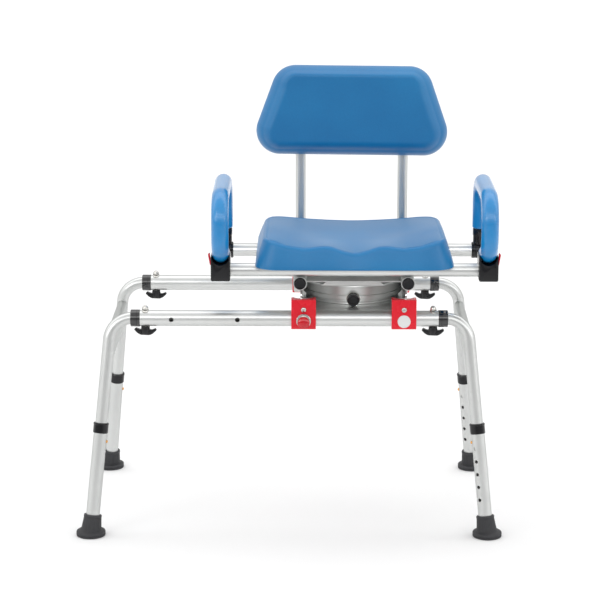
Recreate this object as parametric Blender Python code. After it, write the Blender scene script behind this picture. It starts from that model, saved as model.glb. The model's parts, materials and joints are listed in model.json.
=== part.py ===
"""A bath transfer bench: a sliding, swivelling padded chair on two rails with telescopic legs.

Metres. +X is to the sitter's right as seen from the front, -Y is the front and +Z is up.
The origin is on the floor under the middle of the base frame.
"""

import math

import bmesh
import bpy
from mathutils import Matrix, Vector

GAP = 0.0003  # clearance left between pieces that meet

# Base frame: two rails along X, held at each end by a pair of bent legs
RAIL_Y = 0.1714
RAIL_Z = 0.4556
RAIL_R = 0.0167
RAIL_WALL = 0.0016
RAIL_HALF = 0.3285
BORE_R = 0.0172  # of what slides on a rail or closes its end
HOLE_PITCH = 0.1388  # between the stops that the chair locks at
STOP_HOLE_R = 0.0050
COLLAR_X = (0.3135, 0.3334)
COLLAR_R = 0.0180
CLAMP_X = 0.3025

# Legs: the upper tube bends out of the rail, and the lower tube slides over it
LEG_CORNER_X = 0.3750
FOOT_X = 0.4191
FOOT_Y = 0.2429
UPPER_R = 0.0127
UPPER_WALL = 0.0015
UPPER_END_Z = 0.1700
LEG_BEND_R = 0.050
LEG_ROOT_X = 0.270
LOWER_R = 0.0143
LOWER_WALL = 0.0013
RING_Z = 0.2263
RING_HEIGHT = 0.022
RING_R = 0.0165
LEG_PITCH = 0.0272  # between the height holes
LEG_HOLES = 5
LEG_HOLE_R = 0.0037
BUTTON_DROP = 0.0285  # from the ring's middle to the snap button
BUTTON_R = 0.0032
SECOND_ROW_TURN = math.radians(50)
BRACE_Z = 0.3855
BRACE_HEIGHT = 0.062
BRACE_THICK = 0.020

# Carriage: the tray and brackets that slide along the rails
SEAT_X = 0.1355
BRACKET_DX = 0.1051
BRACKET_WIDTH = 0.0515
BRACKET_Z = (0.4366, 0.5008)
BRACKET_FRONT = 0.1960
BRACKET_SHELF_Z = 0.4740
TRAY_Z = (0.4660, 0.4690)
TRAY_HALF_Y = 0.1500
FLANGE_DX = (0.1085, 0.1120)
FLANGE_TOP = 0.5105
SWIVEL_KNOB_Z = 0.4846
PIN_R = 0.0040

# Turntable
DRUM_R = 0.1065
DRUM_Z = (0.4800, 0.5110)
BASE_RING_R = 0.1000

# Chair
SEAT_TUBE_DX = 0.1127
SEAT_TUBE_Z = 0.5365
SEAT_TUBE_R = 0.0145
SEAT_TUBE_Y = (-0.2000, 0.1050)
CROSS_R = 0.0138
CROSS_Z = 0.5652
FRONT_CROSS_Y = -0.1950
REAR_CROSS_Y = 0.0100
POST_R = 0.0110
POST_Y = 0.1500
POST_TOP = 0.9000
SEAT_BOTTOM = 0.5795
SEAT_TOP = 0.6380
SEAT_HALF_X = 0.2050
SEAT_Y = (-0.2735, 0.1050)
BACK_Y = (0.0900, 0.1380)
BACK_Z = (0.7537, 0.9507)

# Armrests
ARM_DX = 0.2770
ARM_R = 0.0180
ARM_TOP_Z = 0.7220
ARM_FRONT_Y = -0.2500
ARM_LOW_Z = 0.6000
ARM_LOW_Y = -0.1800
ARM_START_Z = 0.6140
ARM_CORNER_R = 0.0520
ELBOW_R = 0.0160
CRADLE_HALF_X = 0.0200
CRADLE_Y = (-0.2350, -0.1750)
CRADLE_Z = (0.5490, 0.6010)

LEFT = -1
RIGHT = 1
FRONT = -1
REAR = 1
CORNERS = {"fl": (LEFT, FRONT), "fr": (RIGHT, FRONT), "rl": (LEFT, REAR), "rr": (RIGHT, REAR)}
SIDES = {"left": LEFT, "right": RIGHT}

X = Vector((1, 0, 0))
Y = Vector((0, 1, 0))
Z = Vector((0, 0, 1))

FINISHES = {
    "aluminium": ((0.62, 0.63, 0.64), 0.35, 1.0),
    "brass": ((0.75, 0.42, 0.12), 0.35, 1.0),
    "black_plastic": ((0.03, 0.03, 0.035), 0.5, 0.0),
    "black_rubber": ((0.025, 0.025, 0.028), 0.7, 0.0),
    "red_plastic": ((0.62, 0.04, 0.05), 0.35, 0.0),
    "blue_foam": ((0.01, 0.16, 0.55), 0.4, 0.0),
    "blue_pad": ((0.03, 0.17, 0.40), 0.55, 0.0),
}


# ---------------------------------------------------------------- mesh tools


def clear_scene():
    for obj in list(bpy.data.objects):
        bpy.data.objects.remove(obj, do_unlink=True)


def finish_material(node, finish):
    """The node's own material, with the colour, roughness and metallic value of its finish."""
    colour, roughness, metallic = FINISHES[finish]
    material = bpy.data.materials.new(f"{node}_{finish}")
    material.use_nodes = True
    shader = material.node_tree.nodes["Principled BSDF"]
    shader.inputs["Base Color"].default_value = (*colour, 1.0)
    shader.inputs["Roughness"].default_value = roughness
    shader.inputs["Metallic"].default_value = metallic
    material.diffuse_color = (*colour, 1.0)
    return material


def add_node(name, bm, finish, origin=(0, 0, 0), smooth=True):
    """A named object from a bmesh in world coordinates, with its origin where it is asked for."""
    bmesh.ops.recalc_face_normals(bm, faces=bm.faces)
    bmesh.ops.translate(bm, verts=bm.verts, vec=-Vector(origin))
    mesh = bpy.data.meshes.new(name)
    bm.to_mesh(mesh)
    bm.free()
    obj = bpy.data.objects.new(name, mesh)
    obj.location = origin
    bpy.context.scene.collection.objects.link(obj)
    if finish:
        mesh.materials.append(finish_material(name, finish))
    if smooth:
        mesh.shade_smooth()
        mesh.set_sharp_from_angle(angle=math.radians(35))
    return obj


def add_cutter(name, bm):
    obj = add_node(name, bm, None, smooth=False)
    obj.hide_render = True
    obj.display_type = "WIRE"
    return obj


def combine(obj, other, operation):
    modifier = obj.modifiers.new(f"{operation.lower()} {other.name}", "BOOLEAN")
    modifier.operation = operation
    modifier.solver = "EXACT"
    modifier.object = other


def cut(obj, name, bm):
    """Removes the shape in a bmesh from an object."""
    combine(obj, add_cutter(f"{name}_cutter", bm), "DIFFERENCE")


def join(obj, name, bm):
    """Adds the shape in a bmesh to an object."""
    combine(obj, add_cutter(f"{name}_addition", bm), "UNION")


def circle(radius, sides):
    turns = (2 * math.pi * k / sides for k in range(sides))
    return [(radius * math.cos(a), radius * math.sin(a)) for a in turns]


def rounded_rectangle(width, height, radius, steps=4):
    """Outline points of a rectangle centred on 0 with round corners, anticlockwise."""
    points = []
    for quarter in range(4):
        sx = 1 if quarter in (0, 3) else -1
        sy = 1 if quarter in (0, 1) else -1
        for k in range(steps + 1):
            a = math.pi / 2 * (quarter + k / steps)
            x = sx * (width / 2 - radius) + radius * math.cos(a)
            y = sy * (height / 2 - radius) + radius * math.sin(a)
            points.append((x, y))
    return points


def square_to(direction):
    """Two unit vectors at right angles to a direction and to each other."""
    along = Vector(direction).normalized()
    helper = Z if abs(along.z) < 0.9 else X
    first = helper.cross(along).normalized()
    return first, along.cross(first)


def bridge(bm, first, second):
    for k in range(len(first)):
        n = (k + 1) % len(first)
        bm.faces.new((first[k], first[n], second[n], second[k]))


def lathe(bm, profile, base, axis, sides=24, closed=False):
    """Turns a profile of (radius, height) about an axis. A radius of 0 is a point on the axis."""
    base = Vector(base)
    axis = Vector(axis).normalized()
    first, second = square_to(axis)
    rings = []
    for radius, height in profile:
        centre = base + axis * height
        if radius == 0:
            rings.append([bm.verts.new(centre)])
        else:
            spots = (centre + u * first + v * second for u, v in circle(radius, sides))
            rings.append([bm.verts.new(p) for p in spots])
    pairs = list(zip(rings, rings[1:]))
    if closed:
        pairs.append((rings[-1], rings[0]))
    for low, high in pairs:
        if len(low) > 1 and len(high) > 1:
            bridge(bm, low, high)
        elif len(low) > 1:
            for k in range(sides):
                bm.faces.new((low[k], low[(k + 1) % sides], high[0]))
        else:
            for k in range(sides):
                bm.faces.new((high[k], high[(k + 1) % sides], low[0]))


def rod(bm, start, end, radius, sides=16):
    """A plain round bar between two points."""
    start = Vector(start)
    along = Vector(end) - start
    profile = [(0, 0), (radius, 0), (radius, along.length), (0, along.length)]
    lathe(bm, profile, start, along, sides)


def rounded_path(corners, radius, steps=8):
    """A path through the corners, with an arc of the radius at each inner one."""
    path = [Vector(corners[0])]
    for before, corner, after in zip(corners, corners[1:], corners[2:]):
        corner = Vector(corner)
        back = (Vector(before) - corner).normalized()
        ahead = (Vector(after) - corner).normalized()
        half = back.angle(ahead) / 2
        centre = corner + (back + ahead).normalized() * radius / math.sin(half)
        start = corner + back * radius / math.tan(half) - centre
        axis = back.cross(ahead).normalized()
        sweep = -(math.pi - 2 * half)
        for k in range(steps + 1):
            path.append(centre + Matrix.Rotation(sweep * k / steps, 3, axis) @ start)
    path.append(Vector(corners[-1]))
    return path


def path_frames(path):
    """Each point of the path with two unit vectors across it, carried along without twist."""
    tangents = []
    for k in range(len(path)):
        ahead = path[min(k + 1, len(path) - 1)] - path[max(k - 1, 0)]
        tangents.append(ahead.normalized())
    first, _ = square_to(tangents[0])
    frames = []
    for point, tangent in zip(path, tangents):
        first = (first - tangent * first.dot(tangent)).normalized()
        frames.append((point, first, tangent.cross(first)))
    return frames


def sweep(bm, path, outer, inner=None):
    """Runs an outline along a path. With an inner outline the result is an open-ended tube."""

    def shell(outline):
        rings = [
            [bm.verts.new(p + u * a + v * b) for u, v in outline] for p, a, b in path_frames(path)
        ]
        for near, far in zip(rings, rings[1:]):
            bridge(bm, near, far)
        return rings

    outside = shell(outer)
    if inner is None:
        bm.faces.new(outside[0])
        bm.faces.new(outside[-1])
        return
    inside = shell(inner)
    bridge(bm, outside[0], inside[0])
    bridge(bm, outside[-1], inside[-1])


def tube(bm, path, radius, wall, sides=16):
    path = [Vector(p) for p in path]
    sweep(bm, path, circle(radius, sides), circle(radius - wall, sides))


def prism(bm, outline, place, depth):
    """Extrudes an outline in the first two axes of a placing matrix along its third axis."""
    low = [bm.verts.new(place @ Vector((u, v, 0))) for u, v in outline]
    high = [bm.verts.new(place @ Vector((u, v, depth))) for u, v in outline]
    bm.faces.new(low)
    bm.faces.new(high)
    bridge(bm, low, high)


def box(bm, low, high):
    (x0, y0, z0), (x1, y1, z1) = low, high
    prism(bm, [(x0, y0), (x1, y0), (x1, y1), (x0, y1)], Matrix.Translation((0, 0, z0)), z1 - z0)


def loft(bm, rings):
    """A closed skin over rings of the same count, capped at both ends."""
    loops = [[bm.verts.new(p) for p in ring] for ring in rings]
    for low, high in zip(loops, loops[1:]):
        bridge(bm, low, high)
    bm.faces.new(loops[0])
    bm.faces.new(loops[-1])


# ---------------------------------------------------------------- base frame


def leg_direction(side, end):
    """Unit vector down a leg: the legs splay outwards from the rails to the feet."""
    drop = Vector((side * (FOOT_X - LEG_CORNER_X), end * (FOOT_Y - RAIL_Y), -RAIL_Z))
    return drop.normalized()


def leg_point(side, end, height):
    """The point on a leg's centre line at a height above the floor."""
    down = leg_direction(side, end)
    foot = Vector((side * FOOT_X, end * FOOT_Y, 0))
    return foot + down * (height / down.z)


def inward(side, end):
    """Unit vector across a leg, towards the middle of the bench."""
    down = leg_direction(side, end)
    across = Vector((-side, 0, 0))
    return (across - down * across.dot(down)).normalized()


def make_rail(name, end):
    bm = bmesh.new()
    y = end * RAIL_Y
    tube(bm, [(-RAIL_HALF, y, RAIL_Z), (RAIL_HALF, y, RAIL_Z)], RAIL_R, RAIL_WALL, 20)
    rail = add_node(name, bm, "aluminium", (0, y, RAIL_Z))
    holes = bmesh.new()
    for side in (LEFT, RIGHT):
        x = side * CLAMP_X
        rod(holes, (x, y, RAIL_Z - 0.03), (x, y, RAIL_Z + 0.03), 0.0036, 8)
    if end == FRONT:
        for step in (-2, -1, 0):
            x = SEAT_X - BRACKET_DX + step * HOLE_PITCH
            rod(holes, (x, y, RAIL_Z), (x, y - 0.03, RAIL_Z), STOP_HOLE_R, 10)
    cut(rail, name, holes)


def make_collar(corner, side, end):
    """The plastic sleeve that closes a rail's end around the leg tube."""
    bm = bmesh.new()
    near, far = COLLAR_X
    lip = RAIL_HALF + GAP
    profile = [
        (BORE_R, near),
        (COLLAR_R - 0.0006, near),
        (COLLAR_R, near + 0.0008),
        (COLLAR_R, far - 0.0015),
        (COLLAR_R - 0.0012, far),
        (UPPER_R + 0.0010, far),
        (UPPER_R + 0.0010, lip),
        (BORE_R, lip),
    ]
    lathe(bm, profile, (0, end * RAIL_Y, RAIL_Z), (side, 0, 0), 20, closed=True)
    add_node(f"rail_collar_{corner}", bm, "black_plastic")


def make_upper_leg(corner, side, end):
    y = end * RAIL_Y
    corners = [
        (side * LEG_ROOT_X, y, RAIL_Z),
        (side * LEG_CORNER_X, y, RAIL_Z),
        leg_point(side, end, UPPER_END_Z),
    ]
    bm = bmesh.new()
    tube(bm, rounded_path(corners, LEG_BEND_R, 6), UPPER_R, UPPER_WALL, 16)
    leg = add_node(f"upper_leg_{corner}", bm, "aluminium")
    holes = bmesh.new()
    x = side * CLAMP_X
    rod(holes, (x, y, RAIL_Z - 0.02), (x, y, RAIL_Z + 0.02), 0.0036, 8)
    centre = button_centre(side, end)
    rod(holes, centre, centre + inward(side, end) * 0.02, BUTTON_R + 0.0004, 8)
    cut(leg, f"upper_leg_{corner}", holes)


def make_brace(name, side):
    """The flat tube between the two legs at one end, coped to fit around them."""
    lean = Matrix.Rotation(-side * math.atan2(FOOT_X - LEG_CORNER_X, RAIL_Z), 4, "Y")
    centre = leg_point(side, FRONT, BRACE_Z)
    reach = abs(centre.y)
    turn = Matrix.Rotation(math.pi / 2, 4, "X")
    place = Matrix.Translation((centre.x, reach, BRACE_Z)) @ lean @ turn
    bm = bmesh.new()
    outer = rounded_rectangle(BRACE_THICK, BRACE_HEIGHT, 0.0085)
    inner = rounded_rectangle(BRACE_THICK - 0.003, BRACE_HEIGHT - 0.003, 0.0070)
    ends = [place @ Vector((0, 0, 0)), place @ Vector((0, 0, 2 * reach))]
    loops = []
    for outline in (outer, inner):
        loops.append(
            [
                [bm.verts.new(place @ Vector((u, v, depth))) for u, v in outline]
                for depth in (0, (ends[1] - ends[0]).length)
            ]
        )
        bridge(bm, *loops[-1])
    bridge(bm, loops[0][0], loops[1][0])
    bridge(bm, loops[0][1], loops[1][1])
    brace = add_node(name, bm, "aluminium")
    copes = bmesh.new()
    for end in (FRONT, REAR):
        rod(
            copes,
            leg_point(side, end, BRACE_Z - 0.06),
            leg_point(side, end, BRACE_Z + 0.06),
            UPPER_R + 2 * GAP,
            20,
        )
    cut(brace, name, copes)


def make_clamp_screw(corner, side, end):
    """A wing knob under the rail, its stud through rail and leg, and a domed nut on top."""
    spot = (side * CLAMP_X, end * RAIL_Y, 0)
    under = RAIL_Z - RAIL_R - GAP
    top = RAIL_Z + RAIL_R + GAP
    stud_r = 0.0031
    nut_r = 0.0074
    hub = [
        (0, under - 0.0195),
        (0.0070, under - 0.0190),
        (0.0085, under - 0.0150),
        (0.0082, under - 0.0040),
        (0.0066, under),
        (stud_r, under),
    ]
    nut = [
        (stud_r, top),
        (nut_r, top),
        (nut_r, top + 0.0050),
        (0.0056, top + 0.0078),
        (0.0024, top + 0.0094),
        (0, top + 0.0096),
    ]
    bm = bmesh.new()
    lathe(bm, hub + nut, spot, Z, 12)
    screw = add_node(f"clamp_screw_{corner}", bm, "black_plastic", spot)
    wings = bmesh.new()
    half, low, high = 0.0225, under - 0.0185, under - 0.0058
    outline = [
        (-half, high - 0.0045),
        (-half + 0.004, low + 0.0035),
        (-0.008, low),
        (0.008, low),
        (half - 0.004, low + 0.0035),
        (half, high - 0.0045),
        (half - 0.002, high),
        (0.006, high - 0.002),
        (-0.006, high - 0.002),
        (-half + 0.002, high),
    ]
    place = Matrix.Translation((spot[0], spot[1] + 0.0042, 0)) @ Matrix.Rotation(
        math.pi / 2, 4, "X"
    )
    prism(wings, outline, place, 0.0084)
    join(screw, f"clamp_wings_{corner}", wings)


# ---------------------------------------------------------------- legs


def button_centre(side, end):
    down = leg_direction(side, end)
    return leg_point(side, end, RING_Z) + down * BUTTON_DROP


def make_snap_button(corner, side, end):
    """The sprung button inside the upper tube, which pokes through its wall."""
    across = inward(side, end)
    centre = button_centre(side, end)
    reach = LOWER_R - LOWER_WALL - 0.0006
    profile = [
        (0, 0.0075),
        (BUTTON_R, 0.0075),
        (BUTTON_R, reach - 0.0008),
        (BUTTON_R - 0.0009, reach),
        (0, reach),
    ]
    bm = bmesh.new()
    lathe(bm, profile, centre, across, 8)
    add_node(f"snap_button_{corner}", bm, "brass", centre)


def row_direction(side, end, turn):
    """Across a leg, turned about it from the inward side by the angle of a row of holes."""
    down = leg_direction(side, end)
    return Matrix.Rotation(turn, 3, down) @ inward(side, end)


def make_lower_leg(corner, side, end):
    down = leg_direction(side, end)
    top = leg_point(side, end, RING_Z) - down * (RING_HEIGHT / 2 - 0.003)
    bottom = leg_point(side, end, 0) - down * 0.0095
    bm = bmesh.new()
    tube(bm, [top, bottom], LOWER_R, LOWER_WALL, 16)
    leg = add_node(f"lower_leg_{corner}", bm, "aluminium", leg_point(side, end, 0))
    holes = bmesh.new()
    for turn, offset in ((0, 0), (-SECOND_ROW_TURN, LEG_PITCH / 2)):
        across = row_direction(side, end, turn)
        for k in range(LEG_HOLES):
            spot = button_centre(side, end) + down * (offset + k * LEG_PITCH)
            rod(holes, spot, spot + across * 0.02, LEG_HOLE_R, 8)
    cut(leg, f"lower_leg_{corner}", holes)


def make_leg_ring(corner, side, end):
    """The plastic ring that closes the top of the lower tube."""
    down = leg_direction(side, end)
    centre = leg_point(side, end, RING_Z)
    half = RING_HEIGHT / 2
    shoulder = -(half - 0.003) - GAP
    profile = [
        (UPPER_R + GAP, -half),
        (RING_R - 0.0012, -half),
        (RING_R, -half + 0.0012),
        (RING_R, half - 0.0008),
        (RING_R - 0.0008, half),
        (LOWER_R + GAP, half),
        (LOWER_R + GAP, shoulder),
        (UPPER_R + GAP, shoulder),
    ]
    bm = bmesh.new()
    lathe(bm, profile, centre, down, 20, closed=True)
    add_node(f"leg_ring_{corner}", bm, "black_plastic")


def make_foot(corner, side, end):
    """A flared rubber ferrule: level on the floor, with its cone leaning with the leg."""
    down = leg_direction(side, end)
    foot = leg_point(side, end, 0)
    sides = 24
    # radius, distance up the leg, and how far the ring has turned from level to square with it
    steps = [
        (0.0298, 0.0000, 0.0),
        (0.0308, 0.0015, 0.0),
        (0.0308, 0.0090, 0.0),
        (0.0296, 0.0112, 0.0),
        (0.0222, 0.0128, 0.2),
        (0.0208, 0.0170, 0.6),
        (0.0184, 0.0420, 1.0),
        (0.0174, 0.0445, 1.0),
        (LOWER_R + 0.0004, 0.0445, 1.0),
        (LOWER_R + 0.0004, 0.0090, 1.0),
    ]
    rings = []
    for radius, height, lean in steps:
        axis = Z.lerp(-down, lean).normalized()
        first = (X - axis * X.dot(axis)).normalized()
        second = axis.cross(first)
        centre = foot - down * height
        if lean == 0:
            centre = foot + Z * height
        rings.append([centre + u * first + v * second for u, v in circle(radius, sides)])
    bm = bmesh.new()
    loft(bm, rings)
    add_node(f"rubber_foot_{corner}", bm, "black_rubber", foot)


# ---------------------------------------------------------------- carriage


def make_carriage_plate():
    """The tray between the rails, with a flange along each side and a tab for the swivel lock."""
    bm = bmesh.new()
    flange_in, flange_out = FLANGE_DX
    box(
        bm,
        (SEAT_X - flange_out, -TRAY_HALF_Y, TRAY_Z[0]),
        (SEAT_X + flange_out, TRAY_HALF_Y, TRAY_Z[1]),
    )
    plate = add_node("carriage_plate", bm, "aluminium", (SEAT_X, 0, TRAY_Z[1]), smooth=False)
    reach = BRACKET_FRONT - 0.0278
    profile = [
        (-TRAY_HALF_Y, TRAY_Z[0]),
        (TRAY_HALF_Y, TRAY_Z[0]),
        (TRAY_HALF_Y, BRACKET_SHELF_Z + GAP),
        (reach, BRACKET_SHELF_Z + GAP),
        (reach, FLANGE_TOP - 0.006),
        (reach - 0.008, FLANGE_TOP),
        (-reach + 0.008, FLANGE_TOP),
        (-reach, FLANGE_TOP - 0.006),
        (-reach, BRACKET_SHELF_Z + GAP),
        (-TRAY_HALF_Y, BRACKET_SHELF_Z + GAP),
    ]
    axes = Matrix(((0, 0, 1, 0), (1, 0, 0, 0), (0, 1, 0, 0), (0, 0, 0, 1)))
    for name, x in (("left", SEAT_X - flange_out), ("right", SEAT_X + flange_in)):
        flange = bmesh.new()
        prism(flange, profile, Matrix.Translation((x, 0, 0)) @ axes, flange_out - flange_in)
        join(plate, f"{name}_flange", flange)
    tab = bmesh.new()
    box(
        tab,
        (SEAT_X - 0.009, -DRUM_R - 0.0060, TRAY_Z[0] + 0.001),
        (SEAT_X + 0.009, -DRUM_R - 0.0030, SWIVEL_KNOB_Z + 0.008),
    )
    join(plate, "lock_tab", tab)
    hole = bmesh.new()
    start = (SEAT_X, -DRUM_R + 0.002, SWIVEL_KNOB_Z)
    rod(hole, start, (SEAT_X, -DRUM_R - 0.01, SWIVEL_KNOB_Z), PIN_R + 0.0004, 12)
    cut(plate, "lock_tab_hole", hole)


def make_bracket(corner, side, end):
    """A block that wraps a rail and bolts to the tray's flange, scooped out behind its top edge."""
    x = SEAT_X + side * BRACKET_DX
    low, high = BRACKET_Z
    front = BRACKET_FRONT
    back_low = RAIL_Y - RAIL_R - 0.0025
    back_high = front - 0.0270
    chamfer = 0.004
    outline = [
        (front - chamfer, low),
        (front, low + chamfer),
        (front, high - 0.001),
        (front - 0.001, high),
        (back_high, high),
        (back_high, BRACKET_SHELF_Z),
        (back_low, BRACKET_SHELF_Z),
        (back_low, low + chamfer),
        (back_low + chamfer, low),
    ]
    outline = [(end * y, z) for y, z in outline]
    axes = Matrix(((0, 0, 1, 0), (1, 0, 0, 0), (0, 1, 0, 0), (0, 0, 0, 1)))
    bm = bmesh.new()
    place = Matrix.Translation((x - BRACKET_WIDTH / 2, 0, 0)) @ axes
    prism(bm, outline, place, BRACKET_WIDTH)
    bracket = add_node(f"slider_bracket_{corner}", bm, "red_plastic", (x, end * RAIL_Y, RAIL_Z))
    holes = bmesh.new()
    reach = BRACKET_WIDTH / 2 + 0.01
    y = end * RAIL_Y
    rod(holes, (x - reach, y, RAIL_Z), (x + reach, y, RAIL_Z), BORE_R, 20)
    cut(bracket, f"bracket_bore_{corner}", holes)
    scoop = bmesh.new()
    y = end * (back_high - 0.0085)
    rod(scoop, (x, y, 0.4790), (x, y, high + 0.01), 0.0225, 28)
    cut(bracket, f"bracket_scoop_{corner}", scoop)
    if (side, end) == (LEFT, FRONT):
        hole = bmesh.new()
        rod(hole, (x, -front - 0.01, RAIL_Z), (x, -RAIL_Y, RAIL_Z), PIN_R + 0.0004, 12)
        cut(bracket, "plunger_hole", hole)


def make_slide_lock_knob():
    """The red pull knob and its pin, which stops just short of the rail."""
    spot = Vector((SEAT_X - BRACKET_DX, -BRACKET_FRONT, RAIL_Z))
    tip = -(BRACKET_FRONT - RAIL_Y - RAIL_R - 0.0006)
    profile = [
        (0, tip),
        (PIN_R, tip),
        (PIN_R, 0.0060),
        (0.0100, 0.0065),
        (0.0128, 0.0120),
        (0.0128, 0.0210),
        (0.0110, 0.0245),
        (0.0060, 0.0262),
        (0, 0.0265),
    ]
    bm = bmesh.new()
    lathe(bm, profile, spot, -Y, 20)
    add_node("slide_lock_knob", bm, "red_plastic", spot)


def make_swivel_lock_knob():
    """The black pull knob on the tray's front tab, whose pin stops just short of the drum."""
    spot = Vector((SEAT_X, -DRUM_R - 0.0060, SWIVEL_KNOB_Z))
    profile = [
        (0, -0.0054),
        (PIN_R, -0.0054),
        (PIN_R, 0.0040),
        (0.0100, 0.0042),
        (0.0130, 0.0080),
        (0.0130, 0.0150),
        (0.0112, 0.0178),
        (0, 0.0188),
    ]
    bm = bmesh.new()
    lathe(bm, profile, spot, -Y, 20)
    add_node("swivel_lock_knob", bm, "black_plastic", spot)


# ---------------------------------------------------------------- turntable


def make_turntable_base():
    """The ring on the tray that the drum turns on, with a raised race and an open middle."""
    low = TRAY_Z[1] + GAP
    top = DRUM_Z[0] - GAP
    race = DRUM_Z[1] - 0.0035
    profile = [
        (0.0128, low),
        (BASE_RING_R, low),
        (BASE_RING_R, top - 0.001),
        (BASE_RING_R - 0.001, top),
        (0.0800, top),
        (0.0800, race),
        (0.0740, race),
        (0.0740, low + 0.004),
        (0.0128, low + 0.004),
    ]
    bm = bmesh.new()
    lathe(bm, profile, (SEAT_X, 0, 0), Z, 32, closed=True)
    add_node("turntable_base", bm, "aluminium", (SEAT_X, 0, low))


def make_turntable_drum():
    """The shallow drum that the chair is bolted to, with its pivot in the middle of the base."""
    low, high = DRUM_Z
    wall = 0.003
    pivot_r = 0.0125
    pivot_end = TRAY_Z[1] + 2 * GAP
    profile = [
        (0, high),
        (DRUM_R - 0.001, high),
        (DRUM_R, high - 0.001),
        (DRUM_R, low + 0.001),
        (DRUM_R - 0.001, low),
        (DRUM_R - wall, low),
        (DRUM_R - wall, high - wall),
        (pivot_r, high - wall),
        (pivot_r, pivot_end),
        (0, pivot_end),
    ]
    bm = bmesh.new()
    lathe(bm, profile, (SEAT_X, 0, 0), Z, 40)
    add_node("turntable_drum", bm, "aluminium", (SEAT_X, 0, low))


# ---------------------------------------------------------------- chair frame


def make_mount_plate():
    """The pressed plate between the drum and the seat tubes, with a turned-down front lip."""
    sheet_low = SEAT_TUBE_Z - SEAT_TUBE_R - GAP - 0.0030
    sheet_high = SEAT_TUBE_Z - SEAT_TUBE_R - GAP
    boss_low = DRUM_Z[1] + GAP
    half_x, half_y = 0.1180, 0.1060
    bm = bmesh.new()
    outline = rounded_rectangle(2 * half_x, 2 * half_y, 0.012)
    prism(bm, outline, Matrix.Translation((SEAT_X, 0, sheet_low)), sheet_high - sheet_low)
    plate = add_node("seat_mount_plate", bm, "aluminium", (SEAT_X, 0, sheet_low), smooth=False)
    boss = bmesh.new()
    mid = (sheet_low + sheet_high) / 2
    rod(boss, (SEAT_X, 0, boss_low), (SEAT_X, 0, mid), 0.0550, 40)
    join(plate, "plate_boss", boss)
    for name, y in (("front", -half_y), ("rear", half_y - 0.003)):
        lip = bmesh.new()
        axes = Matrix.Translation((SEAT_X, y + 0.003, 0)) @ Matrix.Rotation(math.pi / 2, 4, "X")
        outline = [(-0.056, mid), (-0.069, boss_low), (0.069, boss_low), (0.056, mid)]
        prism(lip, outline, axes, 0.003)
        join(plate, f"plate_{name}_lip", lip)


def make_seat_tube(name, side):
    x = SEAT_X + side * SEAT_TUBE_DX
    bm = bmesh.new()
    ends = [(x, y, SEAT_TUBE_Z) for y in SEAT_TUBE_Y]
    tube(bm, ends, SEAT_TUBE_R, 0.0015, 24)
    add_node(f"seat_tube_{name}", bm, "aluminium", (x, 0, SEAT_TUBE_Z))


def make_tube_cap(name, side):
    """A push-in plug with a domed face at the front of a seat tube."""
    x = SEAT_X + side * SEAT_TUBE_DX
    inside = SEAT_TUBE_R - 0.0015 - GAP
    profile = [
        (0, 0.0120),
        (inside, 0.0120),
        (inside, -GAP),
        (0.0130, -GAP),
        (0.0130, -0.0032),
        (0.0112, -0.0044),
        (0, -0.0048),
    ]
    bm = bmesh.new()
    lathe(bm, profile, (x, SEAT_TUBE_Y[0], SEAT_TUBE_Z), Y, 24)
    add_node(f"tube_end_cap_{name}", bm, "black_plastic")


def make_cross_tube(name, y, reach):
    bm = bmesh.new()
    ends = [(SEAT_X - reach, y, CROSS_Z), (SEAT_X + reach, y, CROSS_Z)]
    tube(bm, ends, CROSS_R, 0.0015, 24)
    add_node(name, bm, "aluminium", (SEAT_X, y, CROSS_Z))


def make_post(name, side):
    """A back upright: it starts inside the seat tube and bends up behind the back pad."""
    x = SEAT_X + side * SEAT_TUBE_DX
    corners = [(x, 0.030, SEAT_TUBE_Z), (x, POST_Y, SEAT_TUBE_Z), (x, POST_Y, POST_TOP)]
    bm = bmesh.new()
    tube(bm, rounded_path(corners, 0.040, 6), POST_R, 0.0015, 16)
    add_node(f"backrest_post_{name}", bm, "aluminium")


def make_seat_pad():
    """The plain body of the moulded seat, without its contours."""
    middle_y = sum(SEAT_Y) / 2
    length = SEAT_Y[1] - SEAT_Y[0]
    # height, and how far the edge is in from the widest outline
    steps = [
        (SEAT_BOTTOM, 0.004),
        (SEAT_BOTTOM + 0.006, 0.000),
        (SEAT_TOP - 0.018, 0.006),
        (SEAT_TOP - 0.006, 0.010),
        (SEAT_TOP, 0.022),
    ]
    rings = []
    for z, inset in steps:
        outline = rounded_rectangle(2 * (SEAT_HALF_X - inset), length - 2 * inset, 0.045)
        rings.append([Vector((SEAT_X + u, middle_y + v, z)) for u, v in outline])
    bm = bmesh.new()
    loft(bm, rings)
    add_node("seat_pad", bm, "blue_pad", (SEAT_X, middle_y, SEAT_BOTTOM))


def back_outline(inset):
    """Outline of the back pad: a trapezoid, wider at the bottom, with large round corners."""
    tall = BACK_Z[1] - BACK_Z[0]
    corners = [(-0.1615, tall), (-0.2330, 0.0), (0.2330, 0.0), (0.1615, tall)]
    radii = [0.0530, 0.0525, 0.0525, 0.0530]
    points = []
    count = len(corners)
    for k, radius in enumerate(radii):
        corner = Vector(corners[k])
        back = (Vector(corners[k - 1]) - corner).normalized()
        ahead = (Vector(corners[(k + 1) % count]) - corner).normalized()
        half = back.angle(ahead) / 2
        centre = corner + (back + ahead).normalized() * radius / math.sin(half)
        start = (corner + back * radius / math.tan(half) - centre) * (1 - inset / radius)
        turn = math.pi - 2 * half
        for step in range(8):
            points.append(centre + Matrix.Rotation(turn * step / 7, 2) @ start)
    return points


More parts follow.
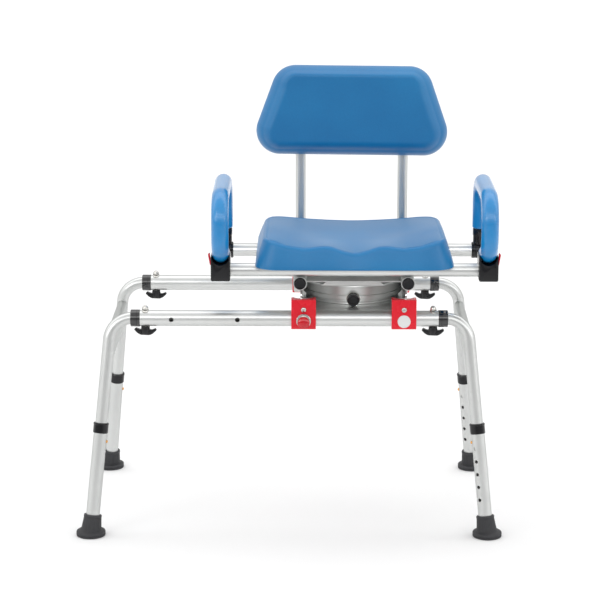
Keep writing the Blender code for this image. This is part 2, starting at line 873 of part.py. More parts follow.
def make_back_pad():
    """The plain body of the moulded back."""
    front, rear = BACK_Y
    rings = []
    for y, inset in ((rear, 0.004), (rear - 0.004, 0), (front + 0.012, 0.001), (front, 0.014)):
        rings.append([Vector((SEAT_X + u, y, BACK_Z[0] + v)) for u, v in back_outline(inset)])
    bm = bmesh.new()
    loft(bm, rings)
    add_node("back_pad", bm, "blue_pad", (SEAT_X, rear, BACK_Z[0]))


# ---------------------------------------------------------------- armrests


def make_cradle(name, side):
    """The block on the front cross tube that a lowered armrest rests in."""
    x = SEAT_X + side * ARM_DX
    low, high = CRADLE_Z
    bm = bmesh.new()
    outline = rounded_rectangle(2 * CRADLE_HALF_X, high - low, 0.003, 2)
    place = Matrix.Translation((x, CRADLE_Y[1], (low + high) / 2)) @ Matrix.Rotation(
        math.pi / 2, 4, "X"
    )
    prism(bm, outline, place, CRADLE_Y[1] - CRADLE_Y[0])
    cradle = add_node(f"arm_cradle_{name}", bm, "black_plastic", (x, FRONT_CROSS_Y, CROSS_Z))
    bore = bmesh.new()
    rod(
        bore,
        (x - side * (CRADLE_HALF_X + 0.01), FRONT_CROSS_Y, CROSS_Z),
        (x + side * (CRADLE_HALF_X - 0.004), FRONT_CROSS_Y, CROSS_Z),
        CROSS_R + GAP,
        24,
    )
    cut(cradle, f"cradle_bore_{name}", bore)
    groove = bmesh.new()
    rod(
        groove,
        (x, CRADLE_Y[0] - 0.01, ARM_LOW_Z),
        (x, CRADLE_Y[1] + 0.01, ARM_LOW_Z),
        ARM_R + 0.0005,
        28,
    )
    cut(cradle, f"cradle_groove_{name}", groove)


def make_release_lever(name, side):
    """The thumb tab on the outside of a cradle, leaning out at its top."""
    x = SEAT_X + side * (ARM_DX + CRADLE_HALF_X + GAP)
    foot = 0.5785
    outline = [
        (0, foot),
        (side * 0.0022, foot),
        (side * 0.0062, foot + 0.0215),
        (side * 0.0044, foot + 0.0235),
        (side * 0.0030, foot + 0.0230),
    ]
    middle = (CRADLE_Y[0] + CRADLE_Y[1]) / 2
    place = Matrix.Translation((x, middle + 0.007, 0)) @ Matrix.Rotation(math.pi / 2, 4, "X")
    bm = bmesh.new()
    prism(bm, outline, place, 0.014)
    add_node(f"release_lever_{name}", bm, "red_plastic", (x, middle, foot), smooth=False)


def make_elbow(name, side):
    """The hinge sleeve on the rear cross tube, with the stem that the grip's tube stands on."""
    x = SEAT_X + side * ARM_DX
    half = 0.0190
    outer = 0.0175
    sleeve = [
        (0, half),
        (outer - 0.001, half),
        (outer, half - 0.001),
        (outer, -half + 0.001),
        (outer - 0.001, -half),
        (CROSS_R + GAP, -half),
        (CROSS_R + GAP, half - 0.003),
        (0, half - 0.003),
    ]
    bm = bmesh.new()
    lathe(bm, sleeve, (x, REAR_CROSS_Y, CROSS_Z), (side, 0, 0), 24)
    elbow = add_node(f"arm_elbow_{name}", bm, "black_plastic", (x, REAR_CROSS_Y, CROSS_Z))
    stem = bmesh.new()
    start = CROSS_Z + CROSS_R + 0.0015
    rod(
        stem,
        (x, REAR_CROSS_Y, start),
        (x, REAR_CROSS_Y, ARM_START_Z - GAP),
        ELBOW_R,
        20,
    )
    join(elbow, f"elbow_stem_{name}", stem)


def make_grip(name, side):
    """The foam grip: up from the elbow, forward, down at the front and back into the cradle."""
    x = SEAT_X + side * ARM_DX
    corners = [
        (x, REAR_CROSS_Y, ARM_START_Z),
        (x, REAR_CROSS_Y, ARM_TOP_Z),
        (x, ARM_FRONT_Y, ARM_TOP_Z),
        (x, ARM_FRONT_Y, ARM_LOW_Z),
        (x, ARM_LOW_Y, ARM_LOW_Z),
    ]
    bm = bmesh.new()
    sweep(bm, rounded_path(corners, ARM_CORNER_R, 6), circle(ARM_R, 16))
    add_node(f"arm_grip_{name}", bm, "blue_foam", (x, REAR_CROSS_Y, CROSS_Z))


# ---------------------------------------------------------------- assembly


def build():
    clear_scene()
    make_rail("front_rail", FRONT)
    make_rail("rear_rail", REAR)
    for corner, (side, end) in CORNERS.items():
        make_collar(corner, side, end)
        make_upper_leg(corner, side, end)
        make_clamp_screw(corner, side, end)
        make_snap_button(corner, side, end)
        make_lower_leg(corner, side, end)
        make_leg_ring(corner, side, end)
        make_foot(corner, side, end)
        make_bracket(corner, side, end)
    make_carriage_plate()
    make_slide_lock_knob()
    make_swivel_lock_knob()
    make_turntable_base()
    make_turntable_drum()
    make_mount_plate()
    make_cross_tube("front_cross_tube", FRONT_CROSS_Y, ARM_DX + CRADLE_HALF_X - 0.005)
    make_cross_tube("rear_cross_tube", REAR_CROSS_Y, ARM_DX + 0.0150)
    make_seat_pad()
    make_back_pad()
    for name, side in SIDES.items():
        make_brace(f"end_brace_{name}", side)
        make_seat_tube(name, side)
        make_tube_cap(name, side)
        make_post(name, side)
        make_cradle(name, side)
        make_release_lever(name, side)
        make_elbow(name, side)
        make_grip(name, side)


build()
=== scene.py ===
"""The looks of a bath transfer bench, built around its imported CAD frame.

Metres, in the frame's axes: +X right, -Y front, +Z up. Places and sizes come from the frame's
nodes, joints and mounts; the named values below are only what the frame doesn't hold.
"""

import json
import math

import bmesh
import bpy
import numpy as np
from mathutils import Matrix, Vector

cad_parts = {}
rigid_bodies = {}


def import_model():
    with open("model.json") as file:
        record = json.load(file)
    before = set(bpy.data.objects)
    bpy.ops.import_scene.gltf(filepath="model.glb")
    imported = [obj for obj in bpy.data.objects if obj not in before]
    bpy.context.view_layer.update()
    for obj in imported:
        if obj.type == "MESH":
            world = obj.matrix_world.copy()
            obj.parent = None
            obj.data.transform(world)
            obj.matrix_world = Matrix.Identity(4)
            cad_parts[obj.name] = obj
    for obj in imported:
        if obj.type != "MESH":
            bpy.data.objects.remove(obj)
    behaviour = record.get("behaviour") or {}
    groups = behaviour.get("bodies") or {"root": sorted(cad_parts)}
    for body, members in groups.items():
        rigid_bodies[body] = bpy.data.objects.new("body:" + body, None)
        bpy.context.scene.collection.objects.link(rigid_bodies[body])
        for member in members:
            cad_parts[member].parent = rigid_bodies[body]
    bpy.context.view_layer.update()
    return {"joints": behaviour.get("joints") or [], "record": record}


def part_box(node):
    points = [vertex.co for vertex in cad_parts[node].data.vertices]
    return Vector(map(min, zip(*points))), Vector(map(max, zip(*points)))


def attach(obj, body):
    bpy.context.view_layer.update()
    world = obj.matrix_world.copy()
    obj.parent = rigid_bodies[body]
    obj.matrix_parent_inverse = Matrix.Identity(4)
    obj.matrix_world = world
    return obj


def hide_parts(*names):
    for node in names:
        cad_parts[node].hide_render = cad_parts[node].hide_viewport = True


for old in list(bpy.data.objects):
    bpy.data.objects.remove(old, do_unlink=True)

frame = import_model()

JOINTS = {joint["name"]: joint for joint in frame["joints"]}
MOUNTS = {mount["name"]: mount for mount in frame["record"]["mounts"]}
CORNERS = {"fl": (-1, -1), "fr": (1, -1), "rl": (-1, 1), "rr": (1, 1)}
SIDES = {"left": -1, "right": 1}

X = Vector((1, 0, 0))
Y = Vector((0, 1, 0))
Z = Vector((0, 0, 1))

# Tubes: the legs' radii, the walls, the bends, and the rounding of cut edges
UPPER_R = 0.0127
LOWER_R = 0.0143
WALL = 0.0015
RAIL_WALL = 0.0016
LOWER_WALL = 0.0013
LEG_BEND_R = 0.050
POST_BEND_R = 0.040
ARM_CORNER_R = 0.052
ARM_R = 0.0180  # outside the foam
CUT_EDGE = 0.0003

# Clearances: a sleeve on its tube, and a bracket on its rail
FIT = 0.0002
BORE_EXTRA = 0.0004

# Holes in the rails: the clamps' and the chair's stops
CLAMP_HOLE_R = 0.0036
STOP_PITCH = 0.1388
STOP_HOLE_R = 0.0050
DRILL_REACH = 0.03

# Height holes in the lower legs: two staggered rows, from the button below the ring
LEG_PITCH = 0.0272
LEG_HOLES = 5
LEG_HOLE_R = 0.0037
BUTTON_DROP = 0.0285
SECOND_ROW_TURN = math.radians(50)

# How far up its own axis a lower tube starts, inside the ferrule
FERRULE_FLOOR = 0.0095

# How far the wing knobs and the bracket screws' slots are turned
WING_TURN = math.radians(-10)
SLOT_TURN = math.radians(35)

# The brackets' shelf under the turntable, and the level where their scoops and inserts start
SHELF_Z = 0.4740
SCOOP_Z = 0.4790
INSERT_Z = 0.4794

PIN_R = 0.0039  # the slide and swivel locks' pins
BACK_ROLL = math.radians(0.6)  # the back pad sits slightly lower on its right

# What the two reflectors brighten
UNDER_SEAT = ["turntable_drum_shell", "turntable_ring", "carriage_plate_tray"]
UNDER_SEAT += ["seat_mount_plate_pressing", "rear_cross_tube_pipe"]


# ---------------------------------------------------------------- the frame's places


def middle(node):
    low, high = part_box(node)
    return (low + high) / 2


def half(node):
    low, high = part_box(node)
    return (high - low) / 2


RAIL_Y = abs(middle("front_rail").y)
RAIL_Z = middle("front_rail").z
RAIL_R = half("front_rail").z
SEAT_X = middle("turntable_drum").x
CROSS_R = half("front_cross_tube").z
CROSS_Z = middle("front_cross_tube").z


def at_height(spot, z):
    """The point at a height, straight above or below a spot."""
    return Vector((spot.x, spot.y, z))


def rail_spot(end):
    """The middle of the front rail, for an end of -1, or of the rear one."""
    return middle("front_rail" if end < 0 else "rear_rail")


def leg_up(corner):
    return Vector(JOINTS[f"leg_{corner}_height"]["axis"]).normalized()


def leg_point(corner, height):
    """The point on a leg's centre line at a height above the floor."""
    up = leg_up(corner)
    return Vector(MOUNTS[f"foot_{corner}"]["pos_m"]) + up * (height / up.z)


def leg_inward(corner):
    """Across a leg towards the middle of the bench, against the way its button is pressed."""
    return -Vector(JOINTS[f"button_{corner}_press"]["axis"]).normalized()


# ---------------------------------------------------------------- mesh tools


def circle(radius, sides):
    turns = (2 * math.pi * k / sides for k in range(sides))
    return [(radius * math.cos(a), radius * math.sin(a)) for a in turns]


def rounded_polygon(corners, radii, steps=6):
    """Outline points of a polygon, anticlockwise, with an arc at each corner."""
    points = []
    count = len(corners)
    for k, radius in enumerate(radii):
        corner = Vector(corners[k])
        back = (Vector(corners[k - 1]) - corner).normalized()
        ahead = (Vector(corners[(k + 1) % count]) - corner).normalized()
        if radius == 0:
            points.append(corner)
            continue
        between = back.angle(ahead) / 2
        centre = corner + (back + ahead).normalized() * radius / math.sin(between)
        start = corner + back * radius / math.tan(between) - centre
        turn = math.pi - 2 * between
        if back.x * ahead.y - back.y * ahead.x > 0:
            turn = -turn  # the outline bends inwards here
        for step in range(steps + 1):
            points.append(centre + Matrix.Rotation(turn * step / steps, 2) @ start)
    return points


def rounded_rectangle(width, height, radius, steps=6):
    u, v = width / 2, height / 2
    return rounded_polygon([(-u, -v), (u, -v), (u, v), (-u, v)], [radius] * 4, steps)


def square_to(direction):
    """Two unit vectors at right angles to a direction and to each other."""
    along = Vector(direction).normalized()
    helper = Z if abs(along.z) < 0.9 else X
    first = helper.cross(along).normalized()
    return first, along.cross(first)


def bridge(bm, first, second):
    for k in range(len(first)):
        n = (k + 1) % len(first)
        bm.faces.new((first[k], first[n], second[n], second[k]))


def lathe(bm, profile, base, axis, sides=56, closed=False):
    """Turns a profile of (radius, height) about an axis. A radius of 0 is a point on the axis."""
    base = Vector(base)
    axis = Vector(axis).normalized()
    first, second = square_to(axis)
    rings = []
    for radius, height in profile:
        centre = base + axis * height
        if radius == 0:
            rings.append([bm.verts.new(centre)])
        else:
            spots = (centre + u * first + v * second for u, v in circle(radius, sides))
            rings.append([bm.verts.new(p) for p in spots])
    pairs = list(zip(rings, rings[1:]))
    if closed:
        pairs.append((rings[-1], rings[0]))
    for low, high in pairs:
        if len(low) > 1 and len(high) > 1:
            bridge(bm, low, high)
            continue
        rim, tip = (low, high[0]) if len(low) > 1 else (high, low[0])
        for k in range(sides):
            bm.faces.new((rim[k], rim[(k + 1) % sides], tip))


def rod(bm, start, end, radius, sides=32):
    start = Vector(start)
    along = Vector(end) - start
    profile = [(0, 0), (radius, 0), (radius, along.length), (0, along.length)]
    lathe(bm, profile, start, along, sides)


def rods(bm, each):
    """Several rods in one mesh, each given as its start, end, radius and sides."""
    for values in each:
        rod(bm, *values)


def rounded_path(corners, radius, steps=16, straight=1):
    """A path through the corners with an arc at each inner one, and its straights subdivided."""
    bends = [[Vector(corners[0])]]
    for before, corner, after in zip(corners, corners[1:], corners[2:]):
        corner = Vector(corner)
        back = (Vector(before) - corner).normalized()
        ahead = (Vector(after) - corner).normalized()
        between = back.angle(ahead) / 2
        centre = corner + (back + ahead).normalized() * radius / math.sin(between)
        start = corner + back * radius / math.tan(between) - centre
        axis = back.cross(ahead).normalized()
        sweep = -(math.pi - 2 * between)
        bends.append(
            [centre + Matrix.Rotation(sweep * k / steps, 3, axis) @ start for k in range(steps + 1)]
        )
    bends.append([Vector(corners[-1])])
    path = list(bends[0])
    for bend in bends[1:]:
        start = path[-1]
        path += [start.lerp(bend[0], k / straight) for k in range(1, straight)]
        path += bend
    return path


def path_frames(path):
    """Each point of the path with two unit vectors across it, carried along without twist."""
    tangents = []
    for k in range(len(path)):
        ahead = path[min(k + 1, len(path) - 1)] - path[max(k - 1, 0)]
        tangents.append(ahead.normalized())
    first, _ = square_to(tangents[0])
    frames = []
    for point, tangent in zip(path, tangents):
        first = (first - tangent * first.dot(tangent)).normalized()
        frames.append((point, first, tangent.cross(first)))
    return frames


def tube(bm, path, radius, wall=WALL, sides=40):
    """An open-ended tube along a path, with its end edges slightly broken."""
    frames = path_frames([Vector(p) for p in path])

    def ring(place, r, shift=0.0):
        point, a, b = place
        ahead = a.cross(b)
        return [
            bm.verts.new(point + u * a + v * b + ahead * shift) for u, v in circle(r, sides)
        ]

    edge = CUT_EDGE
    first, last = frames[0], frames[-1]
    rings = [ring(first, radius - edge)]
    rings.append(ring(first, radius, edge))
    rings += [ring(place, radius) for place in frames[1:-1]]
    rings.append(ring(last, radius, -edge))
    rings.append(ring(last, radius - edge))
    rings.append(ring(last, radius - wall))
    rings += [ring(place, radius - wall) for place in reversed(frames[1:-1])]
    rings.append(ring(first, radius - wall))
    rings.append(rings[0])
    for near, far in zip(rings, rings[1:]):
        bridge(bm, near, far)


def dome(radius, base, rise, steps):
    """A dome's profile from just above its rim to its top, on the axis."""
    turns = [math.pi / 2 * k / steps for k in range(1, steps)]
    return [(radius * math.cos(a), base + rise * math.sin(a)) for a in turns] + [(0, base + rise)]


def prism(bm, outline, place, depth):
    """Extrudes an outline in the first two axes of a placing matrix along its third axis."""
    low = [bm.verts.new(place @ Vector((p[0], p[1], 0))) for p in outline]
    high = [bm.verts.new(place @ Vector((p[0], p[1], depth))) for p in outline]
    bm.faces.new(low)
    bm.faces.new(high)
    bridge(bm, low, high)


def facing(axis, origin):
    """A placing matrix whose third axis is +X, +Y, -Y or +Z, for prism()."""
    turns = {
        "+X": Matrix(((0, 0, 1), (1, 0, 0), (0, 1, 0))),
        "+Y": Matrix(((-1, 0, 0), (0, 0, 1), (0, 1, 0))),
        "-Y": Matrix(((1, 0, 0), (0, 0, -1), (0, 1, 0))),
        "+Z": Matrix.Identity(3),
    }
    return Matrix.Translation(origin) @ turns[axis].to_4x4()


def loft(bm, rings):
    loops = [[bm.verts.new(p) for p in ring] for ring in rings]
    for low, high in zip(loops, loops[1:]):
        bridge(bm, low, high)
    bm.faces.new(loops[0])
    bm.faces.new(loops[-1])


def settle(obj):
    """Puts the object's modifiers into its mesh."""
    graph = bpy.context.evaluated_depsgraph_get()
    mesh = bpy.data.meshes.new_from_object(obj.evaluated_get(graph))
    obj.modifiers.clear()
    obj.data = mesh


def plain_object(name, bm):
    bmesh.ops.recalc_face_normals(bm, faces=bm.faces)
    mesh = bpy.data.meshes.new(name)
    bm.to_mesh(mesh)
    bm.free()
    obj = bpy.data.objects.new(name, mesh)
    bpy.context.scene.collection.objects.link(obj)
    return obj


def piece(name, shape, *values, **options):
    """A new object of the shape that one of the mesh functions above makes."""
    bm = bmesh.new()
    shape(bm, *values, **options)
    return plain_object(name, bm)


def combine(obj, operation, shape, *values):
    """A Boolean with a shape from one of the mesh functions, applied at once."""
    other = piece(f"{obj.name}_tool", shape, *values)
    modifier = obj.modifiers.new("combine", "BOOLEAN")
    modifier.operation = operation
    modifier.solver = "EXACT"
    modifier.object = other
    settle(obj)
    bpy.data.objects.remove(other, do_unlink=True)


def soften(obj, width, segments=3, angle=35):
    """Rounds the sharp edges."""
    modifier = obj.modifiers.new("soften", "BEVEL")
    modifier.width = width
    modifier.segments = segments
    modifier.limit_method = "ANGLE"
    modifier.angle_limit = math.radians(angle)
    settle(obj)


def show(obj, material, body, *nodes, sharp=40, slot=None):
    """Gives the piece its material and shading, and puts it on its body in place of CAD nodes."""
    obj.data.materials.clear()
    obj.data.materials.append(material)
    obj.data.shade_smooth()
    obj.data.set_sharp_from_angle(angle=math.radians(sharp))
    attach(obj, body)
    if nodes:
        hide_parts(*nodes)
    return obj


# ---------------------------------------------------------------- materials


class Nodes:
    """The node tree of a new material or world, with short calls to add and link nodes."""

    def __init__(self, name, store=bpy.data.materials, shader="Principled BSDF", space="Object"):
        self.owner = store.new(name)
        self.owner.use_nodes = True
        self.tree = self.owner.node_tree
        self.shader = self.tree.nodes[shader]
        self.where = self.add("ShaderNodeTexCoord").outputs[space]

    def add(self, kind, inputs=(), **settings):
        """A node with its settings, and a link or constant at each input, by name or number."""
        node = self.tree.nodes.new(kind)
        for name, value in settings.items():
            setattr(node, name, value)
        for name, source in dict(inputs).items():
            if isinstance(source, bpy.types.NodeSocket):
                self.tree.links.new(source, node.inputs[name])
            else:
                node.inputs[name].default_value = source
        return node

    def set(self, **values):
        """Constants, straight on the shader's own sockets."""
        for name, value in values.items():
            self.shader.inputs[name.replace("_", " ")].default_value = value

    def noise(self, scale, detail=3.0, stretch=None):
        where = self.where
        if stretch:
            where = self.add("ShaderNodeMapping", {"Scale": stretch, "Vector": where}).outputs[0]
        inputs = {"Scale": scale, "Detail": detail, "Vector": where}
        return self.add("ShaderNodeTexNoise", inputs).outputs["Fac"]

    def cells(self, scale, feature="F1"):
        inputs = {"Scale": scale, "Vector": self.where}
        return self.add("ShaderNodeTexVoronoi", inputs, feature=feature).outputs["Distance"]

    def ramp(self, value, stops):
        node = self.add("ShaderNodeValToRGB", {"Fac": value})
        elements = node.color_ramp.elements
        while len(elements) < len(stops):
            elements.new(0.5)
        for element, (place, colour) in zip(elements, stops):
            element.position = place
            element.color = (*colour, 1)
        return node.outputs["Color"]

    def split(self, vector):
        return self.add("ShaderNodeSeparateXYZ", {"Vector": vector}).outputs

    def spread(self, value, low, high, start=0.0, end=1.0):
        """The value, which goes from start to end, spread over another range."""
        inputs = {"Value": value, "From Min": start, "From Max": end, "To Min": low, "To Max": high}
        return self.add("ShaderNodeMapRange", inputs).outputs["Result"]

    def worn(self, colour, edge_colour, low=0.52, high=0.62):
        """The colour, lighter along the mesh's raised edges."""
        geometry = self.add("ShaderNodeNewGeometry")
        edge = self.ramp(geometry.outputs["Pointiness"], [(low, (0, 0, 0)), (high, (1, 1, 1))])
        return self.mix({"Factor": edge, "A": colour, "B": (*edge_colour, 1)})

    def mix(self, inputs, blend="MIX"):
        node = self.add("ShaderNodeMix", inputs, data_type="RGBA", blend_type=blend)
        return node.outputs["Result"]

    def bump(self, height, depth, strength=1.0, under=None):
        inputs = {"Height": height, "Distance": depth, "Strength": strength}
        if under:
            inputs["Normal"] = under
        return self.add("ShaderNodeBump", inputs).outputs["Normal"]

    def finish(self, colour, roughness, normal=None):
        sources = {"Base Color": colour, "Roughness": roughness, "Normal": normal}
        for name, source in sources.items():
            if source:
                self.tree.links.new(source, self.shader.inputs[name])
        return self.owner


def aluminium(
    name, stretch=(1, 1, 1), tint=(0.70, 0.71, 0.70), rough=(0.30, 0.38), depth=0.1, metal=1.0
):
    """Satin anodised aluminium, with drawing lines along the way that the noise is stretched."""
    n = Nodes(name)
    n.set(Metallic=metal, Specular_Tint=(0.60, 0.61, 0.60, 1))
    lines = n.noise(700, 2, stretch)
    clouds = n.noise(14, 3)
    dark = tuple(0.94 * c for c in tint)
    colour = n.ramp(clouds, [(0.35, dark), (0.65, tint)])
    roughness = n.spread(lines, *rough)
    return n.finish(colour, roughness, n.bump(lines, 0.00002, depth))


def moulded(name, colour, shade, rough=(0.38, 0.52), grain=0.00006, edge=None, **constants):
    """Moulded plastic or rubber with a fine spark-eroded texture."""
    n = Nodes(name)
    n.set(**constants)
    mottle = n.noise(35, 4)
    tone = n.ramp(mottle, [(0.3, shade), (0.7, colour)])
    if edge:
        tone = n.worn(tone, edge)
    fine = n.noise(1400, 2)
    return n.finish(tone, n.spread(mottle, *rough), n.bump(fine, grain, 0.6))


def pad_skin(name):
    """The integral skin of moulded foam: a fine leather grain over soft colour changes."""
    n = Nodes(name)
    n.set(Sheen_Weight=0.13, Sheen_Roughness=0.30, Specular_IOR_Level=0.5)
    clouds = n.noise(9, 4)
    fleck = n.noise(260, 3)
    deep, light = (0.003, 0.150, 0.370), (0.005, 0.175, 0.410)
    tone = n.ramp(clouds, [(0.3, deep), (0.7, light)])
    flecks = n.ramp(fleck, [(0.3, (0.82, 0.82, 0.82)), (0.7, (1.0, 1.0, 1.0))])
    tone = n.mix({"Factor": 0.25, "A": tone, "B": flecks}, "MULTIPLY")
    grain = n.bump(n.cells(620, "SMOOTH_F1"), 0.00028, 0.5)
    pores = n.bump(fleck, 0.00015, 0.5, under=grain)
    return n.finish(tone, n.spread(clouds, 0.34, 0.44), pores)


def grip_foam(name):
    """Closed-cell foam sleeve: smooth, with a soft gloss and faint pores."""
    n = Nodes(name)
    n.set(Coat_Weight=0.75, Coat_Roughness=0.13, Specular_IOR_Level=0.5)
    clouds = n.noise(18, 3)
    tone = n.ramp(clouds, [(0.3, (0.001, 0.185, 0.470)), (0.7, (0.002, 0.225, 0.540))])
    pores = n.bump(n.noise(700, 3), 0.00010, 0.5)
    return n.finish(tone, n.spread(clouds, 0.30, 0.40), pores)


ALUMINIUM_X = aluminium("anodised_along_x", (0.02, 1, 1))
ALUMINIUM_Y = aluminium("anodised_along_y", (1, 0.02, 1))
# the legs' and posts' copy has a darker tint than the level tubes' copy: painted shade
ALUMINIUM_Z = aluminium("anodised_along_z", (1, 1, 0.02), (0.655, 0.665, 0.655))
BRUSHED = aluminium("brushed_drum", (0.03, 0.03, 1), (0.66, 0.67, 0.66), (0.30, 0.45), 0.4, 0.8)
TRAY = aluminium("bright_sheet", (0.05, 1, 1), (0.84, 0.85, 0.84), (0.20, 0.28), 0.1, 0.85)
SHEET = aluminium("rolled_sheet", (0.05, 1, 1), (0.78, 0.79, 0.78), (0.42, 0.55), 0.2, 0.35)
STEEL = aluminium("zinc_plated_steel", (1, 1, 1), (0.62, 0.61, 0.58), (0.20, 0.30))
DARK = ((0.007, 0.007, 0.009), (0.004, 0.004, 0.005))
BLACK = moulded(
    "black_plastic", *DARK, (0.12, 0.20), 0.00001, (0.02, 0.02, 0.022), Specular_IOR_Level=0.4
)
GLOSS_BLACK = moulded(
    "polished_black_plastic", *DARK, (0.04, 0.08), 0.000002, Specular_IOR_Level=0.95
)
RUBBER = moulded(
    "black_rubber", (0.026, 0.027, 0.030), (0.014, 0.014, 0.016), (0.55, 0.72), 0.00010,
    (0.05, 0.05, 0.055),
)
RED = moulded(
    "red_plastic", (0.690, 0.004, 0.016), (0.640, 0.002, 0.012), (0.22, 0.32), 0.00002,
    (0.74, 0.03, 0.05), Specular_IOR_Level=0.32,
)
KNOB_RED = moulded(
    "polished_red_plastic", (0.600, 0.004, 0.014), (0.420, 0.002, 0.010), (0.06, 0.12), 0.00001,
    Specular_IOR_Level=0.7,
)
BOARD = moulded(
    "pale_grey_board", (0.62, 0.62, 0.60), (0.54, 0.54, 0.53), (0.45, 0.60), 0.00004,
    (0.7, 0.7, 0.68),
)
BRASS = moulded("brass", (0.80, 0.42, 0.13), (0.66, 0.32, 0.09), (0.25, 0.4), 0.00001, Metallic=1.0)
PAD = pad_skin("pad_skin")
FOAM = grip_foam("grip_foam")


# ---------------------------------------------------------------- base frame


def make_rail(node):
    """A rail tube with its clamp holes and, in the front one, the stops that the chair locks at."""
    spot, reach = middle(node), half(node).x
    rail = piece(f"{node}_tube", tube, [spot - X * reach, spot + X * reach], RAIL_R, RAIL_WALL, 56)
    holes = []
    for side in (-1, 1):
        at = Vector((side * middle("clamp_screw_fr").x, spot.y, spot.z))
        holes.append((at - Z * DRILL_REACH, at + Z * DRILL_REACH, CLAMP_HOLE_R, 24))
    if node == "front_rail":
        for step in (-2, -1, 0):
            at = Vector((middle("slide_lock_knob").x + step * STOP_PITCH, spot.y, spot.z))
            holes.append((at, at - Y * DRILL_REACH, STOP_HOLE_R, 24))
    combine(rail, "DIFFERENCE", rods, holes)
    show(rail, ALUMINIUM_X, "frame", node)


def make_upper_leg(corner, side, end):
    """The upper tube: out of its rail, round a bend and down into the lower tube."""
    node = f"upper_leg_{corner}"
    low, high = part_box(node)
    spot = rail_spot(end)
    root = (low.x if side > 0 else high.x, spot.y, spot.z)
    corners = [root, leg_point(corner, RAIL_Z), leg_point(corner, low.z + 0.001)]
    leg = piece(f"{node}_tube", tube, rounded_path(corners, LEG_BEND_R, 20), UPPER_R)
    show(leg, ALUMINIUM_Z, "frame", node)


def make_collar(corner, side, end):
    """The sleeve on a rail's end: a fine groove near its mouth and a rounded outer lip."""
    node = f"rail_collar_{corner}"
    low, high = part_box(node)
    spot = rail_spot(end)
    start = Vector((low.x if side > 0 else high.x, spot.y, spot.z))
    width = high.x - low.x
    wide, narrow, step = RAIL_R + FIT, UPPER_R + FIT, 0.78 * width
    r = half(node).z
    profile = [(wide, 0), (r - 0.0006, 0), (r, 0.0006), (r, 0.0062), (r - 0.0003, 0.0065)]
    profile += [(r - 0.0003, 0.0069), (r, 0.0072), (r, width - 0.0018)]
    profile += [(r - 0.0005, width - 0.0005), (r - 0.0014, width)]
    profile += [(narrow, width), (narrow, step), (wide, step)]
    collar = piece(f"{node}_sleeve", lathe, profile, start, X * side, closed=True)
    show(collar, GLOSS_BLACK, "frame", node, sharp=25)


def make_brace(name, side):
    """The flat tube between an end's two legs, coped around them."""
    node = f"end_brace_{name}"
    pair = ("fl", "rl") if side < 0 else ("fr", "rr")
    low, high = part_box(node)
    front, rear = (leg_point(corner, (low.z + high.z) / 2) for corner in pair)
    lean = math.atan2(leg_up(pair[0]).x, leg_up(pair[0]).z)
    place = Matrix.Translation(rear) @ Matrix.Rotation(lean, 4, "Y")
    place = place @ Matrix.Rotation(math.pi / 2, 4, "X")
    thick, tall, round_r = 0.020, high.z - low.z - 0.002, 0.0092
    section = rounded_rectangle(thick, tall, round_r, 8)
    brace = piece(f"{node}_tube", prism, section, place, (rear - front).length)
    lines = [[leg_point(corner, z) for z in (low.z - 0.03, high.z + 0.03)] for corner in pair]
    combine(brace, "DIFFERENCE", rods, [(*line, UPPER_R, 48) for line in lines])
    show(brace, ALUMINIUM_Y, "frame", node, sharp=30)


def make_wing_knob(corner):
    """The black wing knob under a rail: a round hub between two upswept wings."""
    node = f"clamp_screw_{corner}"
    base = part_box(node)[0].z
    spot = middle(node)
    foot, under = base + 0.0030, RAIL_Z - RAIL_R - 0.0003
    hub = [(0, foot), (0.0075, foot), (0.0090, foot + 0.0030), (0.0094, under - 0.0060)]
    hub += [(0.0090, under - 0.0030), (0.0092, under - 0.0012), (0.0084, under - 0.0004)]
    hub += [(0, under - 0.0004)]
    knob = piece(f"wing_knob_{corner}", lathe, hub, at_height(spot, 0), Z, 32)
    reach = half(node).x + 0.0012
    wing = [(0.0100, base + 0.0006), (0.0170, base + 0.0044), (reach, base + 0.0108)]
    wing += [(reach - 0.0020, base + 0.0152), (0.0125, base + 0.0118), (0.0060, base + 0.0130)]
    radii = [0.012, 0.008, 0.0016, 0.0016, 0.004, 0.0]
    pair = rounded_polygon(wing + [(-x, z) for x, z in reversed(wing)], radii + radii[::-1])
    thick = 0.0090
    place = Matrix.Translation(at_height(spot, 0)) @ Matrix.Rotation(WING_TURN, 4, "Z")
    combine(knob, "UNION", prism, pair, place @ facing("-Y", (0, thick / 2, 0)), thick)
    soften(knob, 0.0008)
    show(knob, BLACK, f"clamp_{corner}", node)


